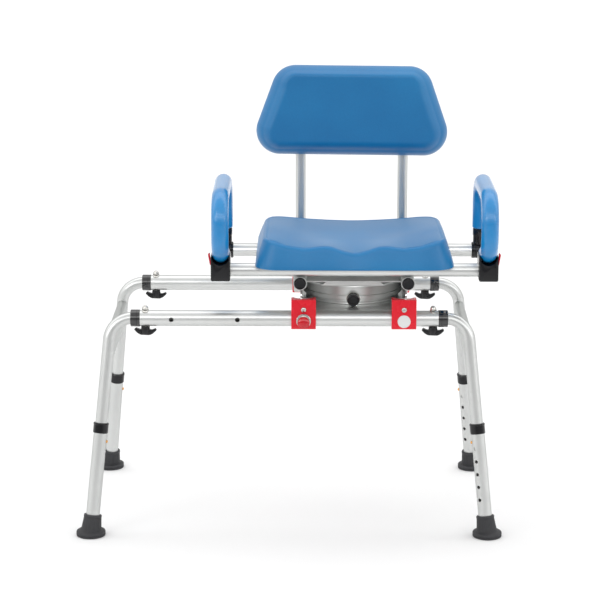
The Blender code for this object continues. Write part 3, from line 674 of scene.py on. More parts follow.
def make_stud(corner):
    """The steel stud through a rail, the saddle washer that fits the rail, and the acorn nut."""
    spot = middle(f"clamp_screw_{corner}")
    body = f"clamp_{corner}"
    under, over = RAIL_Z - RAIL_R - 0.0003, RAIL_Z + RAIL_R
    ends = at_height(spot, under - 0.001), at_height(spot, over + 0.002)
    show(piece(f"clamp_stud_{corner}", rod, *ends, 0.003, 24), STEEL, body)
    outline = rounded_rectangle(0.0140, 0.0220, 0.0069, 10)
    place = Matrix.Translation(at_height(spot, RAIL_Z + 0.006))
    saddle = piece(f"saddle_washer_{corner}", prism, outline, place, RAIL_R)
    line = [at_height(spot + X * x, RAIL_Z) for x in (-0.02, 0.02)]
    combine(saddle, "INTERSECT", rod, *line, RAIL_R + 0.0018, 96)
    combine(saddle, "DIFFERENCE", rod, *line, RAIL_R + 0.0001, 96)
    soften(saddle, 0.0004, 2)
    show(saddle, STEEL, "frame")
    seat, shoulder, dome_r = over + 0.0016, over + 0.0046, 0.0064
    cap = [(0, seat), (dome_r, seat), (dome_r, shoulder)] + dome(dome_r, shoulder, 0.0062, 8)
    nut = piece(f"acorn_nut_{corner}", lathe, cap, at_height(spot, 0), Z, 40)
    flats = at_height(spot, seat), at_height(spot, seat + 0.0034)
    combine(nut, "UNION", rod, *flats, 0.0074, 6)
    soften(nut, 0.0003, 2)
    show(nut, STEEL, body)


# ---------------------------------------------------------------- legs


def button_spot(corner):
    return middle(f"leg_ring_{corner}") - leg_up(corner) * BUTTON_DROP


def make_lower_leg(corner):
    """The lower tube, with its two staggered rows of height holes."""
    node = f"lower_leg_{corner}"
    up = leg_up(corner)
    top = middle(f"leg_ring_{corner}") + up * 0.008
    bottom = leg_point(corner, 0) + up * FERRULE_FLOOR
    leg = piece(f"{node}_tube", tube, [top, bottom], LOWER_R, LOWER_WALL, 48)
    holes = []
    for turn, offset in ((0, 0), (SECOND_ROW_TURN, LEG_PITCH / 2)):
        across = Matrix.Rotation(turn, 3, up) @ leg_inward(corner)
        for k in range(LEG_HOLES):
            spot = button_spot(corner) - up * (offset + k * LEG_PITCH)
            holes.append((spot, spot + across * 0.02, LEG_HOLE_R, 20))
    combine(leg, "DIFFERENCE", rods, holes)
    show(leg, ALUMINIUM_Z, f"leg_{corner}", node)


def make_ring(corner):
    """The plastic ring at the top of a lower tube, with a rolled upper lip."""
    node = f"leg_ring_{corner}"
    tall, outer, step = 0.0110, 0.0165, 0.0083
    inner, wide = UPPER_R + FIT, LOWER_R + FIT
    profile = [(inner, tall), (outer - 0.0018, tall), (outer - 0.0006, tall - 0.0006)]
    profile += [(outer + 0.0001, tall - 0.0020), (outer, tall - 0.0042)]
    profile += [(outer - 0.0005, tall - 0.0047), (outer - 0.0005, -tall + 0.0010)]
    profile += [(outer - 0.0011, -tall), (wide, -tall), (wide, step), (inner, step)]
    ring = piece(f"{node}_sleeve", lathe, profile, middle(node), leg_up(corner), closed=True)
    show(ring, BLACK, f"leg_{corner}", node, sharp=25)


def make_button(corner):
    """A brass snap button whose dome stands out of the height hole."""
    node = f"snap_button_{corner}"
    radius, shoulder = 0.0031, 0.0150
    profile = [(0, 0.0078), (0.0036, 0.0078), (0.0036, 0.0086), (radius, 0.0088)]
    profile += [(radius, shoulder)] + dome(radius, shoulder, 0.0024, 6)
    button = piece(f"{node}_dome", lathe, profile, button_spot(corner), leg_inward(corner), 28)
    show(button, BRASS, f"button_{corner}", node, sharp=30)


def make_foot(corner):
    """A flared rubber ferrule: stepped sole, ribbed cone and a rolled mouth."""
    node = f"rubber_foot_{corner}"
    up = leg_up(corner)
    foot = leg_point(corner, 0)
    sides, ribs = 96, 16
    # radius, height, how far the ring has turned from level to square with the leg, rib depth
    sole = [(0.0292, 0.0000), (0.0303, 0.0008), (0.0307, 0.0022), (0.0308, 0.0044)]
    sole += [(0.0300, 0.0050), (0.0300, 0.0056), (0.0308, 0.0062), (0.0307, 0.0088)]
    sole += [(0.0299, 0.0104), (0.0286, 0.0112)]
    neck = [(0.0244, 0.0118, 0.1, 0), (0.0226, 0.0128, 0.3, 0), (0.0217, 0.0148, 0.5, 0)]
    cone = [(0.0211, 0.0170, 0.7, 0.0005), (0.0200, 0.0260, 0.9, 0.0006)]
    cone += [(0.0189, 0.0360, 1.0, 0.0006)]
    mouth = [(0.0186, 0.0385), (0.0190, 0.0395), (0.0190, 0.0425), (0.0185, 0.0440)]
    mouth += [(0.0172, 0.0446), (LOWER_R + FIT, 0.0444), (LOWER_R + FIT, FERRULE_FLOOR)]
    steps = [(*step, 0.0, 0) for step in sole] + neck + cone + [(*step, 1.0, 0) for step in mouth]
    rings = []
    for radius, height, lean, rib in steps:
        axis = Z.lerp(up, lean).normalized()
        first = (X - axis * X.dot(axis)).normalized()
        second = axis.cross(first)
        centre = foot + up.lerp(Z, 1 - lean).normalized() * height
        ring = []
        for k in range(sides):
            a = 2 * math.pi * k / sides
            r = radius - rib * (0.5 + 0.5 * math.cos(ribs * a)) ** 3
            ring.append(centre + first * (r * math.cos(a)) + second * (r * math.sin(a)))
        rings.append(ring)
    show(piece(f"{node}_ferrule", loft, rings), RUBBER, f"leg_{corner}", node, sharp=50)


# ---------------------------------------------------------------- carriage


def screw_head(name, spot, outward, radius, body):
    """A round-headed screw with a slot across it."""
    shoulder = 0.0006
    profile = [(0, -0.0008), (radius, -0.0008), (radius, shoulder)]
    screw = piece(name, lathe, profile + dome(radius, shoulder, 0.0022, 6), spot, outward, 32)
    place = facing("+Y" if outward.y > 0 else "-Y", spot + outward * 0.0016)
    u, v = 0.0042, 0.0006
    slot = [(-u, -v), (u, -v), (u, v), (-u, v)]
    combine(screw, "DIFFERENCE", prism, slot, place @ Matrix.Rotation(SLOT_TURN, 4, "Z"), 0.004)
    show(screw, STEEL, body)


def bore_for_rail(obj, low, high, end):
    """Bores a piece that spans from low.x to high.x for its rail."""
    ends = [(x, end * RAIL_Y, RAIL_Z) for x in (low.x - 0.01, high.x + 0.01)]
    combine(obj, "DIFFERENCE", rod, *ends, RAIL_R + BORE_EXTRA, 56)


def make_bracket(corner, end):
    """A red bracket, scooped behind its top edge, with its insert, liner and screw."""
    node = f"slider_bracket_{corner}"
    low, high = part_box(node)
    x = middle(node).x
    width = high.x - low.x
    front, back_low = max(abs(low.y), abs(high.y)), min(abs(low.y), abs(high.y))
    back_high = front - 0.0270
    corners = [(front, low.z), (front, high.z), (back_high, high.z), (back_high, SHELF_Z)]
    corners += [(back_low, SHELF_Z), (back_low, low.z)]
    radii = [0.0060, 0.0012, 0.0012, 0, 0.001, 0.0060]
    outline = [(end * p[0], p[1]) for p in rounded_polygon(corners, radii)]
    bracket = piece(f"{node}_block", prism, outline, facing("+X", (low.x, 0, 0)), width)
    bore_for_rail(bracket, low, high, end)
    scoop_y, scoop_r, insert_r = back_high - 0.0085, 0.0228, 0.0222
    scoop = [(x, end * scoop_y, z) for z in (SCOOP_Z, high.z + 0.01)]
    combine(bracket, "DIFFERENCE", rod, *scoop, scoop_r, 64)
    soften(bracket, 0.0007, 2)
    show(bracket, RED, "carriage", node)

    start = math.asin((back_high + 0.0004 - scoop_y) / insert_r)
    arc = []
    for k in range(25):
        a = start + (math.pi - 2 * start) * k / 24
        arc.append((insert_r * math.cos(a), end * (scoop_y + insert_r * math.sin(a))))
    place = Matrix.Translation((x, 0, INSERT_Z))
    insert = piece(f"bracket_insert_{corner}", prism, arc, place, high.z - INSERT_Z - 0.0022)
    soften(insert, 0.0006, 2)
    show(insert, SHEET, "carriage")

    tall = SHELF_Z - low.z - 0.0026
    outline = rounded_rectangle(width - 0.0050, tall, 0.0040)
    centre = Vector((x, end * (back_low + 0.0006), low.z + 0.0026 + tall / 2))
    place = facing("-Y", centre + Y * (0.0006 if end > 0 else 0.0014))
    liner = piece(f"bracket_liner_{corner}", prism, outline, place, 0.0020)
    bore_for_rail(liner, low, high, end)
    show(liner, BOARD, "carriage")
    spot = Vector((x, end * (front + 0.0004), 0.4795))
    screw_head(f"bracket_screw_{corner}", spot, Y * end, 0.0055, "carriage")


def make_bracket_plug():
    """The bright disc pressed into the front right bracket."""
    node = "slider_bracket_fr"
    spot = Vector((middle(node).x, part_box(node)[0].y, RAIL_Z - 0.0010))
    profile = [(0, -0.0010), (0.0136, -0.0010), (0.0136, 0.0004), (0.0130, 0.0011)]
    profile += [(0.0118, 0.0012), (0.0114, 0.0009), (0, 0.0009)]
    show(piece("bracket_plug", lathe, profile, spot, -Y), SHEET, "carriage", sharp=30)


def make_tray():
    """The folded tray: a floor, two side flanges and the tab that holds the swivel lock."""
    node = "carriage_plate"
    low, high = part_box(node)
    floor_high, over, reach, end = 0.4690, 0.4743, 0.1500, high.y
    sheet = rounded_rectangle(high.x - low.x, 2 * reach, 0.004)
    tray = piece(f"{node}_tray", prism, sheet, facing("+Z", (SEAT_X, 0, low.z)), floor_high - low.z)
    corners = [(-reach, low.z), (reach, low.z), (reach, over), (end, over)]
    corners += [(end, high.z), (-end, high.z), (-end, over), (-reach, over)]
    profile = rounded_polygon(corners, [0, 0, 0, 0.001, 0.008, 0.008, 0.001, 0])
    thick = 0.0035
    for x in (low.x, high.x - thick):
        combine(tray, "UNION", prism, profile, facing("+X", (x, 0, 0)), thick)
    wide, foot, top = 0.009, low.z + 0.001, middle("swivel_lock_knob").z + 0.008
    corners = [(-wide, foot), (wide, foot), (wide, top), (-wide, top)]
    tab = rounded_polygon(corners, [0, 0, 0.006, 0.006])
    front = -half("turntable_drum").x - 0.0030
    combine(tray, "UNION", prism, tab, facing("-Y", (SEAT_X, front, 0)), 0.0030)
    soften(tray, 0.0005, 2)
    show(tray, TRAY, "carriage", node)


def make_pull_knob(name, profile, material, collar, collar_y):
    """A pull knob turned from its face inwards, its steel pin, and the collar it slides in."""
    node = f"{name}_lock_knob"
    low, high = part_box(node)
    spot = middle(node)
    face = Vector((spot.x, low.y, spot.z))
    knob = piece(f"{name}_lock_pull", lathe, profile, face, Y)
    show(knob, material, f"{name}_knob", node, sharp=30)
    length = profile[-1][1]
    tip = Vector((spot.x, high.y, spot.z))
    show(piece(f"{name}_lock_pin", rod, face + Y * length, tip, PIN_R, 28), STEEL, f"{name}_knob")
    seat = Vector((spot.x, collar_y, spot.z))
    ring = piece(f"{name}_lock_collar", lathe, collar, seat, -Y, closed=True)
    show(ring, STEEL, "carriage", sharp=30)


def make_slide_knob():
    """The red, domed pull knob on the front left bracket."""
    length = 0.0205
    radius = half("slide_lock_knob").x
    profile = [(0, 0), (0.0050, 0.0002), (0.0088, 0.0010), (0.0116, 0.0030)]
    profile += [(radius - 0.0004, 0.0062), (radius, 0.0085), (radius, 0.0120)]
    profile += [(radius - 0.0010, 0.0145), (0.0108, 0.0180)]
    profile += [(0.0096, length - 0.0008), (0.0092, length), (0, length)]
    collar = [(0.0042, 0), (0.0148, 0), (0.0152, 0.0006), (0.0152, 0.0026), (0.0144, 0.0032)]
    collar += [(0.0100, 0.0036), (0.0086, 0.0044), (0.0042, 0.0044)]
    make_pull_knob("slide", profile, KNOB_RED, collar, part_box("slider_bracket_fl")[0].y)


def make_swivel_knob():
    """The black pull knob in front of the drum, with a dished face."""
    length = 0.0146
    radius = half("swivel_lock_knob").x
    profile = [(0, 0.0010), (0.0085, 0.0008), (0.0095, 0), (0.0110, 0.0002), (0.0124, 0.0012)]
    profile += [(radius, 0.0030), (radius, 0.0095), (radius - 0.0008, 0.0112), (0.0100, 0.0140)]
    profile += [(0.0092, length), (0, length)]
    collar = [(0.0042, 0), (0.0140, 0), (0.0146, 0.0006), (0.0146, 0.0022), (0.0136, 0.0030)]
    collar += [(0.0042, 0.0030)]
    make_pull_knob("swivel", profile, BLACK, collar, -half("turntable_drum").x - 0.0060)


# ---------------------------------------------------------------- turntable


def make_turntable():
    """The flanged ring on the tray, and the drum over it with a groove above its lower rim."""
    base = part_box("turntable_base")[0].z
    r, rim, centre = half("turntable_base").x, 0.4797, Vector((SEAT_X, 0, 0))
    profile = [(0.0150, base), (r - 0.0006, base), (r, base + 0.0006), (r, base + 0.0040)]
    profile += [(r - 0.0016, base + 0.0050), (r - 0.0016, rim - 0.0008), (r - 0.0024, rim)]
    profile += [(0.0150, rim)]
    ring = piece("turntable_ring", lathe, profile, centre, Z, 128, closed=True)
    show(ring, BRUSHED, "carriage", "turntable_base", sharp=30)
    r, top = half("turntable_drum").x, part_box("turntable_drum")[1].z
    foot, wall = 0.4801, 0.003
    profile = [(0, top), (r - 0.0020, top), (r - 0.0006, top - 0.0006), (r, top - 0.0020)]
    profile += [(r, top - 0.0042), (r - 0.0005, top - 0.0046), (r, top - 0.0050)]
    profile += [(r, foot + 0.0118), (r - 0.0028, foot + 0.0114), (r - 0.0028, foot + 0.0094)]
    profile += [(r + 0.0008, foot + 0.0090), (r + 0.0008, foot + 0.0010), (r - 0.0008, foot)]
    profile += [(r - wall, foot), (r - wall, top - wall), (0, top - wall)]
    drum = piece("turntable_drum_shell", lathe, profile, centre, Z, 160)
    show(drum, BRUSHED, "seat", "turntable_drum", sharp=30)


def make_mount_plate():
    """The pressed plate under the seat tubes, with its turned-down front and rear lips."""
    node = "seat_mount_plate"
    low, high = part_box(node)
    size = half(node)
    thick = 0.0030
    sheet = high.z - thick
    outline = rounded_rectangle(2 * size.x, 2 * size.y, 0.012)
    plate = piece(f"{node}_pressing", prism, outline, facing("+Z", (SEAT_X, 0, sheet)), thick)
    inside = sheet + thick / 2
    combine(plate, "UNION", rod, (SEAT_X, 0, low.z), (SEAT_X, 0, inside), 0.055, 72)
    lip = [(-0.069, low.z), (0.069, low.z), (0.056, inside), (-0.056, inside)]
    for y in (-size.y + thick, size.y):
        combine(plate, "UNION", prism, lip, facing("-Y", (SEAT_X, y, 0)), thick)
    soften(plate, 0.0006, 2)
    show(plate, SHEET, "seat", node)


# ---------------------------------------------------------------- chair frame


def make_straight_tube(node, axis, material):
    """A plain tube along one axis, as long as its CAD node."""
    spot, size = middle(node), half(node)
    reach = axis * max(size)
    pipe = piece(f"{node}_pipe", tube, [spot - reach, spot + reach], min(size), WALL, 56)
    show(pipe, material, "seat", node)


def make_end_cap(name):
    """A push-in plug with a slightly dished, ringed face."""
    node = f"tube_end_cap_{name}"
    spot = middle(node)
    face = Vector((spot.x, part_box(node)[0].y, spot.z))
    profile = [(0, 0.0006), (0.0060, 0.0005), (0.0098, 0.0002), (0.0110, 0.0001), (0.0119, 0.0008)]
    profile += [(0.0124, 0.0018), (0.0125, 0.0044), (0.0124, 0.0050), (0.0118, 0.0051)]
    profile += [(0.0118, 0.0160), (0, 0.0160)]
    show(piece(f"{node}_plug", lathe, profile, face, Y), BLACK, "seat", node, sharp=30)


def make_post(name):
    """An upright of the back, bent forward under the seat."""
    node = f"backrest_post_{name}"
    low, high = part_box(node)
    x, radius = middle(node).x, half(node).x
    y, z = high.y - radius, low.z + radius
    path = rounded_path([(x, low.y, z), (x, y, z), (x, y, high.z)], POST_BEND_R, 20)
    show(piece(f"{node}_tube", tube, path, radius), ALUMINIUM_Z, "seat", node)


# ---------------------------------------------------------------- pads


def smooth(t):
    t = np.clip(t, 0.0, 1.0)
    return t * t * (3 - 2 * t)


def bump_at(distance, width):
    return np.exp(-((distance / width) ** 2))


def outline_radius(outline, angles):
    """How far an outline around the origin reaches at each angle."""
    points = np.array([(p[0], p[1]) for p in outline])
    turn = np.arctan2(points[:, 1], points[:, 0])
    order = np.argsort(turn)
    turn, points = turn[order], points[order]
    turn = np.concatenate([turn[-1:] - 2 * np.pi, turn, turn[:1] + 2 * np.pi])
    points = np.concatenate([points[-1:], points, points[:1]])
    k = np.clip(np.searchsorted(turn, angles) - 1, 0, len(turn) - 2)
    start, side = points[k], points[k + 1] - points[k]
    area = start[:, 0] * side[:, 1] - start[:, 1] * side[:, 0]
    return area / (np.cos(angles) * side[:, 1] - np.sin(angles) * side[:, 0])


def even_outline(outline, count):
    """Evenly spaced points along an outline, turned anticlockwise, and its outward normals."""
    corners = np.array([(p[0], p[1]) for p in outline])
    corners = np.concatenate([corners, corners[:1]])
    run = np.concatenate([[0], np.cumsum(np.linalg.norm(np.diff(corners, axis=0), axis=1))])
    at = np.linspace(0, run[-1], count, endpoint=False)
    points = np.stack([np.interp(at, run, corners[:, k]) for k in (0, 1)], axis=1)
    along = np.roll(points, -2, axis=0) - np.roll(points, 2, axis=0)
    outward = np.stack([along[:, 1], -along[:, 0]], axis=1)
    return points, outward / np.linalg.norm(outward, axis=1)[:, None]


def across_profile(values, at):
    """Heights given across half the seat, smoothed, and read at each share of its width."""
    spots = [0.0, 0.13, 0.26, 0.36, 0.54, 0.72, 0.88, 1.0]
    fine = np.linspace(0, 1, 201)
    raw = np.interp(fine, spots, values)
    kernel = np.hanning(27)
    mirrored = np.concatenate([raw[13:0:-1], raw, raw[-2:-15:-1]])
    return np.interp(at, fine, np.convolve(mirrored, kernel / kernel.sum(), "valid"))


def seat_height(across, along, inner):
    """The seat's height: two thigh channels, a dip at the front, and the rolled edge.

    across runs from 0 at the middle to 1 at a side, along from 0 at the front to 1 at the rear,
    and inner is the distance in from the edge.
    """
    front = [0.0325, 0.0385, 0.0475, 0.0480, 0.0435, 0.0485, 0.0585, 0.0600]
    mid = [0.0330, 0.0345, 0.0365, 0.0385, 0.0420, 0.0480, 0.0545, 0.0560]
    rear = [0.0350, 0.0355, 0.0365, 0.0375, 0.0395, 0.0425, 0.0450, 0.0450]
    front, mid, rear = (across_profile(values, across.clip(0, 1)) for values in (front, mid, rear))
    to_mid, to_rear = smooth(along / 0.45), smooth((along - 0.40) / 0.60)
    height = front * (1 - to_mid) + mid * to_mid
    height = height * (1 - to_rear) + rear * to_rear
    height -= 0.0035 * bump_at(across - 0.42, 0.26) * bump_at(along - 0.58, 0.22)
    edge_r = 0.0085
    drop = np.clip(1 - inner / edge_r, 0, 0.94)
    height -= edge_r * (1 - np.sqrt(1 - drop**2))
    # the shallow line moulded just inside the edge
    height -= 0.0010 * bump_at(inner - 0.0115, 0.0020)
    height += 0.0006 * bump_at(inner - 0.0070, 0.0020)
    return height


def make_seat_pad():
    """The moulded seat, from a grid whose rim is carried down its flared sides, and its board."""
    low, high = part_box("seat_pad")
    centre = (low + high) / 2
    half_x, half_y = (high.x - low.x) / 2, (high.y - low.y) / 2
    outline = rounded_rectangle(2 * half_x, 2 * half_y, 0.045, 12)
    count_x, count_y = 150, 130
    s, t = np.meshgrid(
        np.linspace(-1, 1, count_x + 1), np.linspace(-1, 1, count_y + 1), indexing="ij"
    )
    # the grid is finer towards its rim
    s, t = (np.sin(v * np.pi / 2) * 0.35 + v * 0.65 for v in (s, t))
    x, y = s * half_x, t * half_y
    angles = np.arctan2(y, x)
    square = 1 / np.maximum(np.abs(np.cos(angles)) / half_x, np.abs(np.sin(angles)) / half_y)
    ratio = outline_radius(outline, angles.ravel()).reshape(angles.shape) / square
    scale = 1 + (ratio - 1) * np.maximum(np.abs(s), np.abs(t)) ** 3
    lean = 0.0145  # how far the crest of the side is in from its foot
    x = x * scale * (1 - lean / half_x)
    y = y * scale * (1 - 0.6 * lean / half_y)
    inner = np.minimum((1 - np.abs(s)) * half_x, (1 - np.abs(t)) * half_y)
    z = low.z + seat_height(np.abs(x) / (half_x - lean), (y + half_y) / (2 * half_y), inner)

    bm = bmesh.new()
    grid = [
        [
            bm.verts.new((centre.x + x[i, j], centre.y + y[i, j], z[i, j]))
            for j in range(count_y + 1)
        ]
        for i in range(count_x + 1)
    ]
    for i in range(count_x):
        for j in range(count_y):
            bm.faces.new((grid[i][j], grid[i + 1][j], grid[i + 1][j + 1], grid[i][j + 1]))
    rim = [grid[i][0] for i in range(count_x)]
    rim += [grid[count_x][j] for j in range(count_y)]
    rim += [grid[i][count_y] for i in range(count_x, 0, -1)]
    rim += [grid[0][j] for j in range(count_y, 0, -1)]
    tops = [v.co.copy() for v in rim]
    turns = [math.atan2(top.y - centre.y, top.x - centre.x) for top in tops]
    reaches = outline_radius(outline, np.array(turns))
    # down the side: share of the way to the foot, and of the way out to the outline
    steps = [(0.10, 0.10), (0.35, 0.42), (0.60, 0.70), (0.80, 0.90), (0.92, 1.0), (0.97, 1.0)]
    loop = rim
    for down, outward in steps + [(1.0, 0.985), (1.0, 0.95)]:
        ring = []
        for top, turn, reach in zip(tops, turns, reaches):
            crest = math.hypot(top.x - centre.x, top.y - centre.y)
            # at the foot the outline is only rounded under
            r = crest + (reach - crest) * outward if down < 1 else reach * outward
            level = top.z + (low.z - top.z) * down
            spot = (centre.x + r * math.cos(turn), centre.y + r * math.sin(turn), level)
            ring.append(bm.verts.new(spot))
        bridge(bm, loop, ring)
        loop = ring
    bm.faces.new(loop)
    seat = plain_object("seat_cushion", bm)
    show(seat, PAD, "seat", "seat_pad", sharp=60)
    outline = rounded_rectangle(2 * half_x - 0.030, 2 * half_y - 0.030, 0.035, 12)
    place = Matrix.Translation(at_height(centre, low.z - 0.0002))
    board = piece("seat_base_board", prism, outline, place, 0.0022)
    soften(board, 0.0004, 2)
    show(board, BOARD, "seat", slot="black_plastic")


def make_back_pad():
    """The moulded back: a flat face with a wide rounded edge that steps out to its rim."""
    low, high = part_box("back_pad")
    rear, front = high.y, low.y
    thick = rear - front
    origin = (low + high) / 2
    tall = (high.z - low.z) / 2
    flare, narrow = (high.x - low.x) / 2 + 0.0213, 0.1615
    corners = [(-narrow, tall), (-flare, -tall), (flare, -tall), (narrow, tall)]
    outline = rounded_polygon(corners, [0.0530, 0.0525, 0.0525, 0.0530], 40)
    points, outward = even_outline(outline, 400)
    # how wide the rounded edge is: less at the top than at the sides and the bottom
    up, down = np.clip(outward[:, 1], 0, 1), np.clip(-outward[:, 1], 0, 1)
    width = 0.0390 * outward[:, 0] ** 2 + 0.0200 * up**2 + 0.0370 * down**2
    # share of the way over the edge, and how far the skin stands in front of the back
    steps = [(0.0, 0.0060), (0.02, 0.0090), (0.06, 0.0140), (0.12, 0.0196), (0.18, 0.0238)]
    steps += [(0.24, 0.0272), (0.30, 0.0298), (0.34, 0.0312), (0.38, 0.0324), (0.42, 0.0339)]
    steps += [(0.46, 0.0358), (0.50, 0.0376), (0.55, 0.0397), (0.60, 0.0416), (0.65, 0.0432)]
    steps += [(0.70, 0.0446), (0.76, 0.0459), (0.82, 0.0468), (0.88, 0.0474), (0.94, 0.0478)]
    cos, sin = math.cos(BACK_ROLL), math.sin(BACK_ROLL)
    bm = bmesh.new()

    def ring(spots, y):
        turned = ((u * cos + v * sin, v * cos - u * sin) for u, v in spots)
        return [bm.verts.new((origin.x + u, y, origin.z + v)) for u, v in turned]

    back = loop = ring(points - outward * 0.010, rear)
    shapes = [(points - outward * 0.004, rear), (points - outward * 0.0012, rear - 0.0010)]
    shapes.append((points, rear - 0.0035))
    full = 0.0480
    for share, height in steps + [(1.0, full)]:
        face = points - outward * (width * share)[:, None]
        shapes.append((face, rear - thick * height / full))
    centre = face.mean(axis=0)
    for share in (0.94, 0.86, 0.76, 0.64, 0.50, 0.36, 0.22, 0.10):
        shapes.append((centre + (face - centre) * share, front))
    for spots, y in shapes:
        after = ring(spots, y)
        bridge(bm, loop, after)
        loop = after
    bm.faces.new(loop)
    bm.faces.new(back)
    pad = plain_object("back_cushion", bm)
    show(pad, PAD, "seat", "back_pad", sharp=60)


# ---------------------------------------------------------------- armrests


def make_cradle(name, side):
    """The block on the front cross tube's end, grooved for the lowered armrest."""
    node = f"arm_cradle_{name}"
    low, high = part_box(node)
    x = middle(node).x
    corners = [(low.x, low.z), (high.x, low.z), (high.x, high.z), (low.x, high.z)]
    outline = rounded_polygon(corners, [0.0035, 0.0035, 0.0008, 0.0008])
    cradle = piece(f"{node}_block", prism, outline, facing("-Y", (0, high.y, 0)), high.y - low.y)
    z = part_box(f"arm_grip_{name}")[0].z + ARM_R
    ends = [(x, y, z) for y in (low.y - 0.01, high.y + 0.01)]
    combine(cradle, "DIFFERENCE", rod, *ends, ARM_R + 0.0003, 64)
    spot = middle("front_cross_tube")
    ends = [(x + side * reach, spot.y, spot.z) for reach in (-0.03, 0.0165)]
    combine(cradle, "DIFFERENCE", rod, *ends, CROSS_R + FIT, 48)
    soften(cradle, 0.0008, 2)
    show(cradle, BLACK, "seat", node)


def make_lever(name, side):
    """The red thumb tab: a thin blade that leans outwards."""
    node = f"release_lever_{name}"
    low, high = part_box(node)
    tall, reach = high.z - low.z, high.x - low.x
    corners = [(0, 0), (0.0022, 0), (reach, tall - 0.002)]
    corners += [(reach - 0.0016, tall), (0.0026, tall - 0.0006)]
    outline = rounded_polygon(corners, [0.0004, 0.0004, 0.0008, 0.0008, 0.0004], 3)
    outline = [(side * p[0], p[1]) for p in outline]
    place = facing("-Y", (low.x if side > 0 else high.x, high.y, low.z))
    lever = piece(f"{node}_tab", prism, outline, place, high.y - low.y)
    soften(lever, 0.0004, 2)
    show(lever, RED, f"lever_{name}", node)


def make_elbow(name, side):
    """The hinge sleeve on the rear cross tube and the stem under the foam."""
    node = f"arm_elbow_{name}"
    low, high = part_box(node)
    x = middle(node).x
    spot = middle("rear_cross_tube")
    outer, reach, bore = spot.z - low.z, half(node).x, CROSS_R + FIT
    profile = [(0, reach), (outer - 0.004, reach), (outer - 0.0014, reach - 0.0006)]
    profile += [(outer, reach - 0.0020), (outer, -reach + 0.0095)]
    profile += [(outer - 0.0006, -reach + 0.0090), (outer - 0.0006, -reach + 0.0080)]
    profile += [(outer, -reach + 0.0075), (outer, -reach + 0.0014), (outer - 0.0012, -reach)]
    profile += [(bore, -reach), (bore, reach - 0.003), (0, reach - 0.003)]
    elbow = piece(f"{node}_hinge", lathe, profile, (x, spot.y, spot.z), X * side)
    start, stem_r = CROSS_Z + CROSS_R + 0.0010, 0.0160
    lip = stem_r + 0.0008
    shape = [(0, start), (stem_r, start), (stem_r, high.z - 0.0150), (lip, high.z - 0.0145)]
    shape += [(lip, high.z - 0.0010), (stem_r, high.z - 0.0001), (0, high.z - 0.0001)]
    combine(elbow, "UNION", lathe, shape, (x, spot.y, 0), Z, 48)
    soften(elbow, 0.0008, 2, 50)
    show(elbow, BLACK, f"armrest_{name}", node)


def make_grip(name):
    """The foam sleeve on the armrest, with softly rounded ends."""
    node = f"arm_grip_{name}"
    low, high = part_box(node)
    x = middle(node).x
    rear_y, front_y = high.y - ARM_R, low.y + ARM_R
    low_z, top_z = low.z + ARM_R, high.z - ARM_R
    start_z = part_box(f"arm_elbow_{name}")[1].z + 0.0003
    corners = [(x, rear_y, start_z), (x, rear_y, top_z), (x, front_y, top_z)]
    corners += [(x, front_y, low_z), (x, front_y + 0.070, low_z)]
    frames = path_frames(rounded_path(corners, ARM_CORNER_R, 24, straight=6))
    round_off = 0.004

    def ring(place, radius, shift=0.0):
        point, a, b = place
        ahead = a.cross(b)
        return [point + ahead * shift + a * u + b * v for u, v in circle(radius, 56)]

    turns = [math.pi / 2 * k / 5 for k in range(6)]
    ends = [(ARM_R - round_off * (1 - math.sin(a)), round_off * (1 - math.cos(a))) for a in turns]
    rings = [ring(frames[0], radius, back) for radius, back in ends]
    rings += [ring(place, ARM_R) for place in frames[1:-1]]
    rings += [ring(frames[-1], radius, -back) for radius, back in reversed(ends)]
    grip = piece(f"{node}_sleeve", loft, rings)
    show(grip, FOAM, f"armrest_{name}", node, sharp=50)


# ---------------------------------------------------------------- stage


def make_floor():
    """A pale floor with painted shade in front of the bench: darker there, where only its metal
    reflects it.
    """
    corners = [(-14, -6.0), (14, -6.0), (14, 30), (-14, 30)]
    floor = piece("floor", prism, corners, Matrix.Translation((0, 0, -0.02)), 0.02)
    n = Nodes("pale_floor")
    n.set(Roughness=0.7, Specular_IOR_Level=0.2)
    # painted shade: the floor in front of the bench is darkened so that the metal reflects a dark
    # band
    back = n.spread(n.split(n.where)["Y"], 0, 1, -2.2, -0.6)
    tone = n.ramp(back, [(0.0, (0.50, 0.50, 0.50)), (1.0, (0.84, 0.84, 0.84))])
    floor.data.materials.append(n.finish(tone, n.spread(n.noise(3, 2), 0.6, 0.8)))


def make_world():
    """A white studio with a wide softbox in front and another overhead, along the bench."""
    n = Nodes("studio", bpy.data.worlds, "Background", "Generated")
    sight = n.split(n.where)
    ahead = n.add("ShaderNodeMath", {0: sight["Y"], 1: -1.0}, operation="MULTIPLY").outputs[0]
    angle = n.add("ShaderNodeMath", {0: sight["Z"], 1: ahead}, operation="ARCTAN2").outputs[0]
    # degrees up from the front horizon and over to the rear one, and the light from there
    stops = [(-180, 0.75), (-12, 0.30), (-1, 0.18), (7, 0.62), (15, 0.80), (20, 2.40), (33, 2.40)]
    stops += [(38, 0.82), (88, 0.95), (96, 2.10), (121, 2.10)]
    stops += [(127, 0.95), (174, 0.90), (180, 0.75)]
    turn = n.spread(angle, 0, 1, -math.pi, math.pi)
    stops = [((degrees + 180) / 360, (level, level, level)) for degrees, level in stops]
    n.tree.links.new(n.ramp(turn, stops), n.shader.inputs["Color"])
    bpy.context.scene.world = n.owner


def area_light(name, place, target, size, power):
    light = bpy.data.lights.new(name, "AREA")
    light.shape = "RECTANGLE"
    light.size, light.size_y = size
    light.energy = power
    obj = bpy.data.objects.new(name, light)
    obj.location = place
    obj.rotation_euler = (Vector(target) - Vector(place)).to_track_quat("-Z", "Y").to_euler()
    bpy.context.scene.collection.objects.link(obj)
    return obj


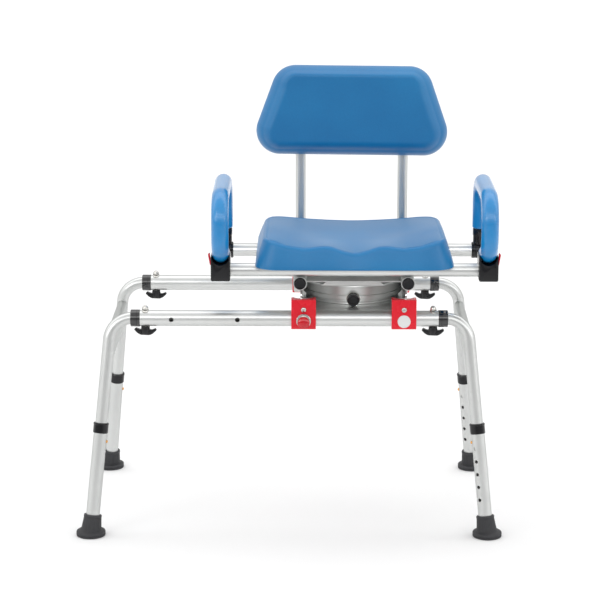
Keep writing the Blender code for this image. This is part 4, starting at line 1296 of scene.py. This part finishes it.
def make_lights():
    """Two weak area lights on the bench, and two reflectors on the turntable's parts alone."""
    bench, turntable = (0.0, 0.0, 0.55), (SEAT_X, 0, 0.48)
    area_light("key", (-2.4, -2.2, 1.8), bench, (0.6, 1.8), 9)
    area_light("fill", (2.8, -1.6, 1.4), bench, (0.5, 1.6), 4)
    low = area_light("low_reflector", (SEAT_X, -1.6, 0.17), turntable, (0.9, 0.25), 0.85)
    high = area_light("high_reflector", (SEAT_X, -2.6, 1.50), turntable, (1.4, 0.4), 16)
    lit = bpy.data.collections.new("under_seat_parts")
    for name in UNDER_SEAT:
        lit.objects.link(bpy.data.objects[name])
    for light in (low, high):
        light.light_linking.receiver_collection = lit


def make_camera():
    """A long lens in front of the bench, looking slightly down."""
    camera = bpy.data.cameras.new("camera")
    camera.sensor_width = 36.0
    camera.lens = 137.8
    camera.shift_x = 0.0104
    obj = bpy.data.objects.new("camera", camera)
    obj.location = (0.0419, -4.8059, 1.5662)
    obj.rotation_euler = (math.radians(90 - 12.913), 0, math.radians(0.5))
    bpy.context.scene.collection.objects.link(obj)
    bpy.context.scene.camera = obj
    bpy.context.scene.view_settings.view_transform = "Standard"


# ---------------------------------------------------------------- assembly


def build():
    make_rail("front_rail")
    make_rail("rear_rail")
    for corner, (side, end) in CORNERS.items():
        make_upper_leg(corner, side, end)
        make_collar(corner, side, end)
        make_wing_knob(corner)
        make_stud(corner)
        make_lower_leg(corner)
        make_ring(corner)
        make_button(corner)
        make_foot(corner)
        make_bracket(corner, end)
    make_bracket_plug()
    make_tray()
    make_slide_knob()
    make_swivel_knob()
    make_turntable()
    make_mount_plate()
    make_straight_tube("front_cross_tube", X, ALUMINIUM_X)
    make_straight_tube("rear_cross_tube", X, ALUMINIUM_X)
    make_seat_pad()
    make_back_pad()
    for name, side in SIDES.items():
        make_brace(name, side)
        make_straight_tube(f"seat_tube_{name}", Y, ALUMINIUM_Y)
        make_end_cap(name)
        make_post(name)
        make_cradle(name, side)
        make_lever(name, side)
        make_elbow(name, side)
        make_grip(name)
    make_floor()
    make_world()
    make_lights()
    make_camera()


build()
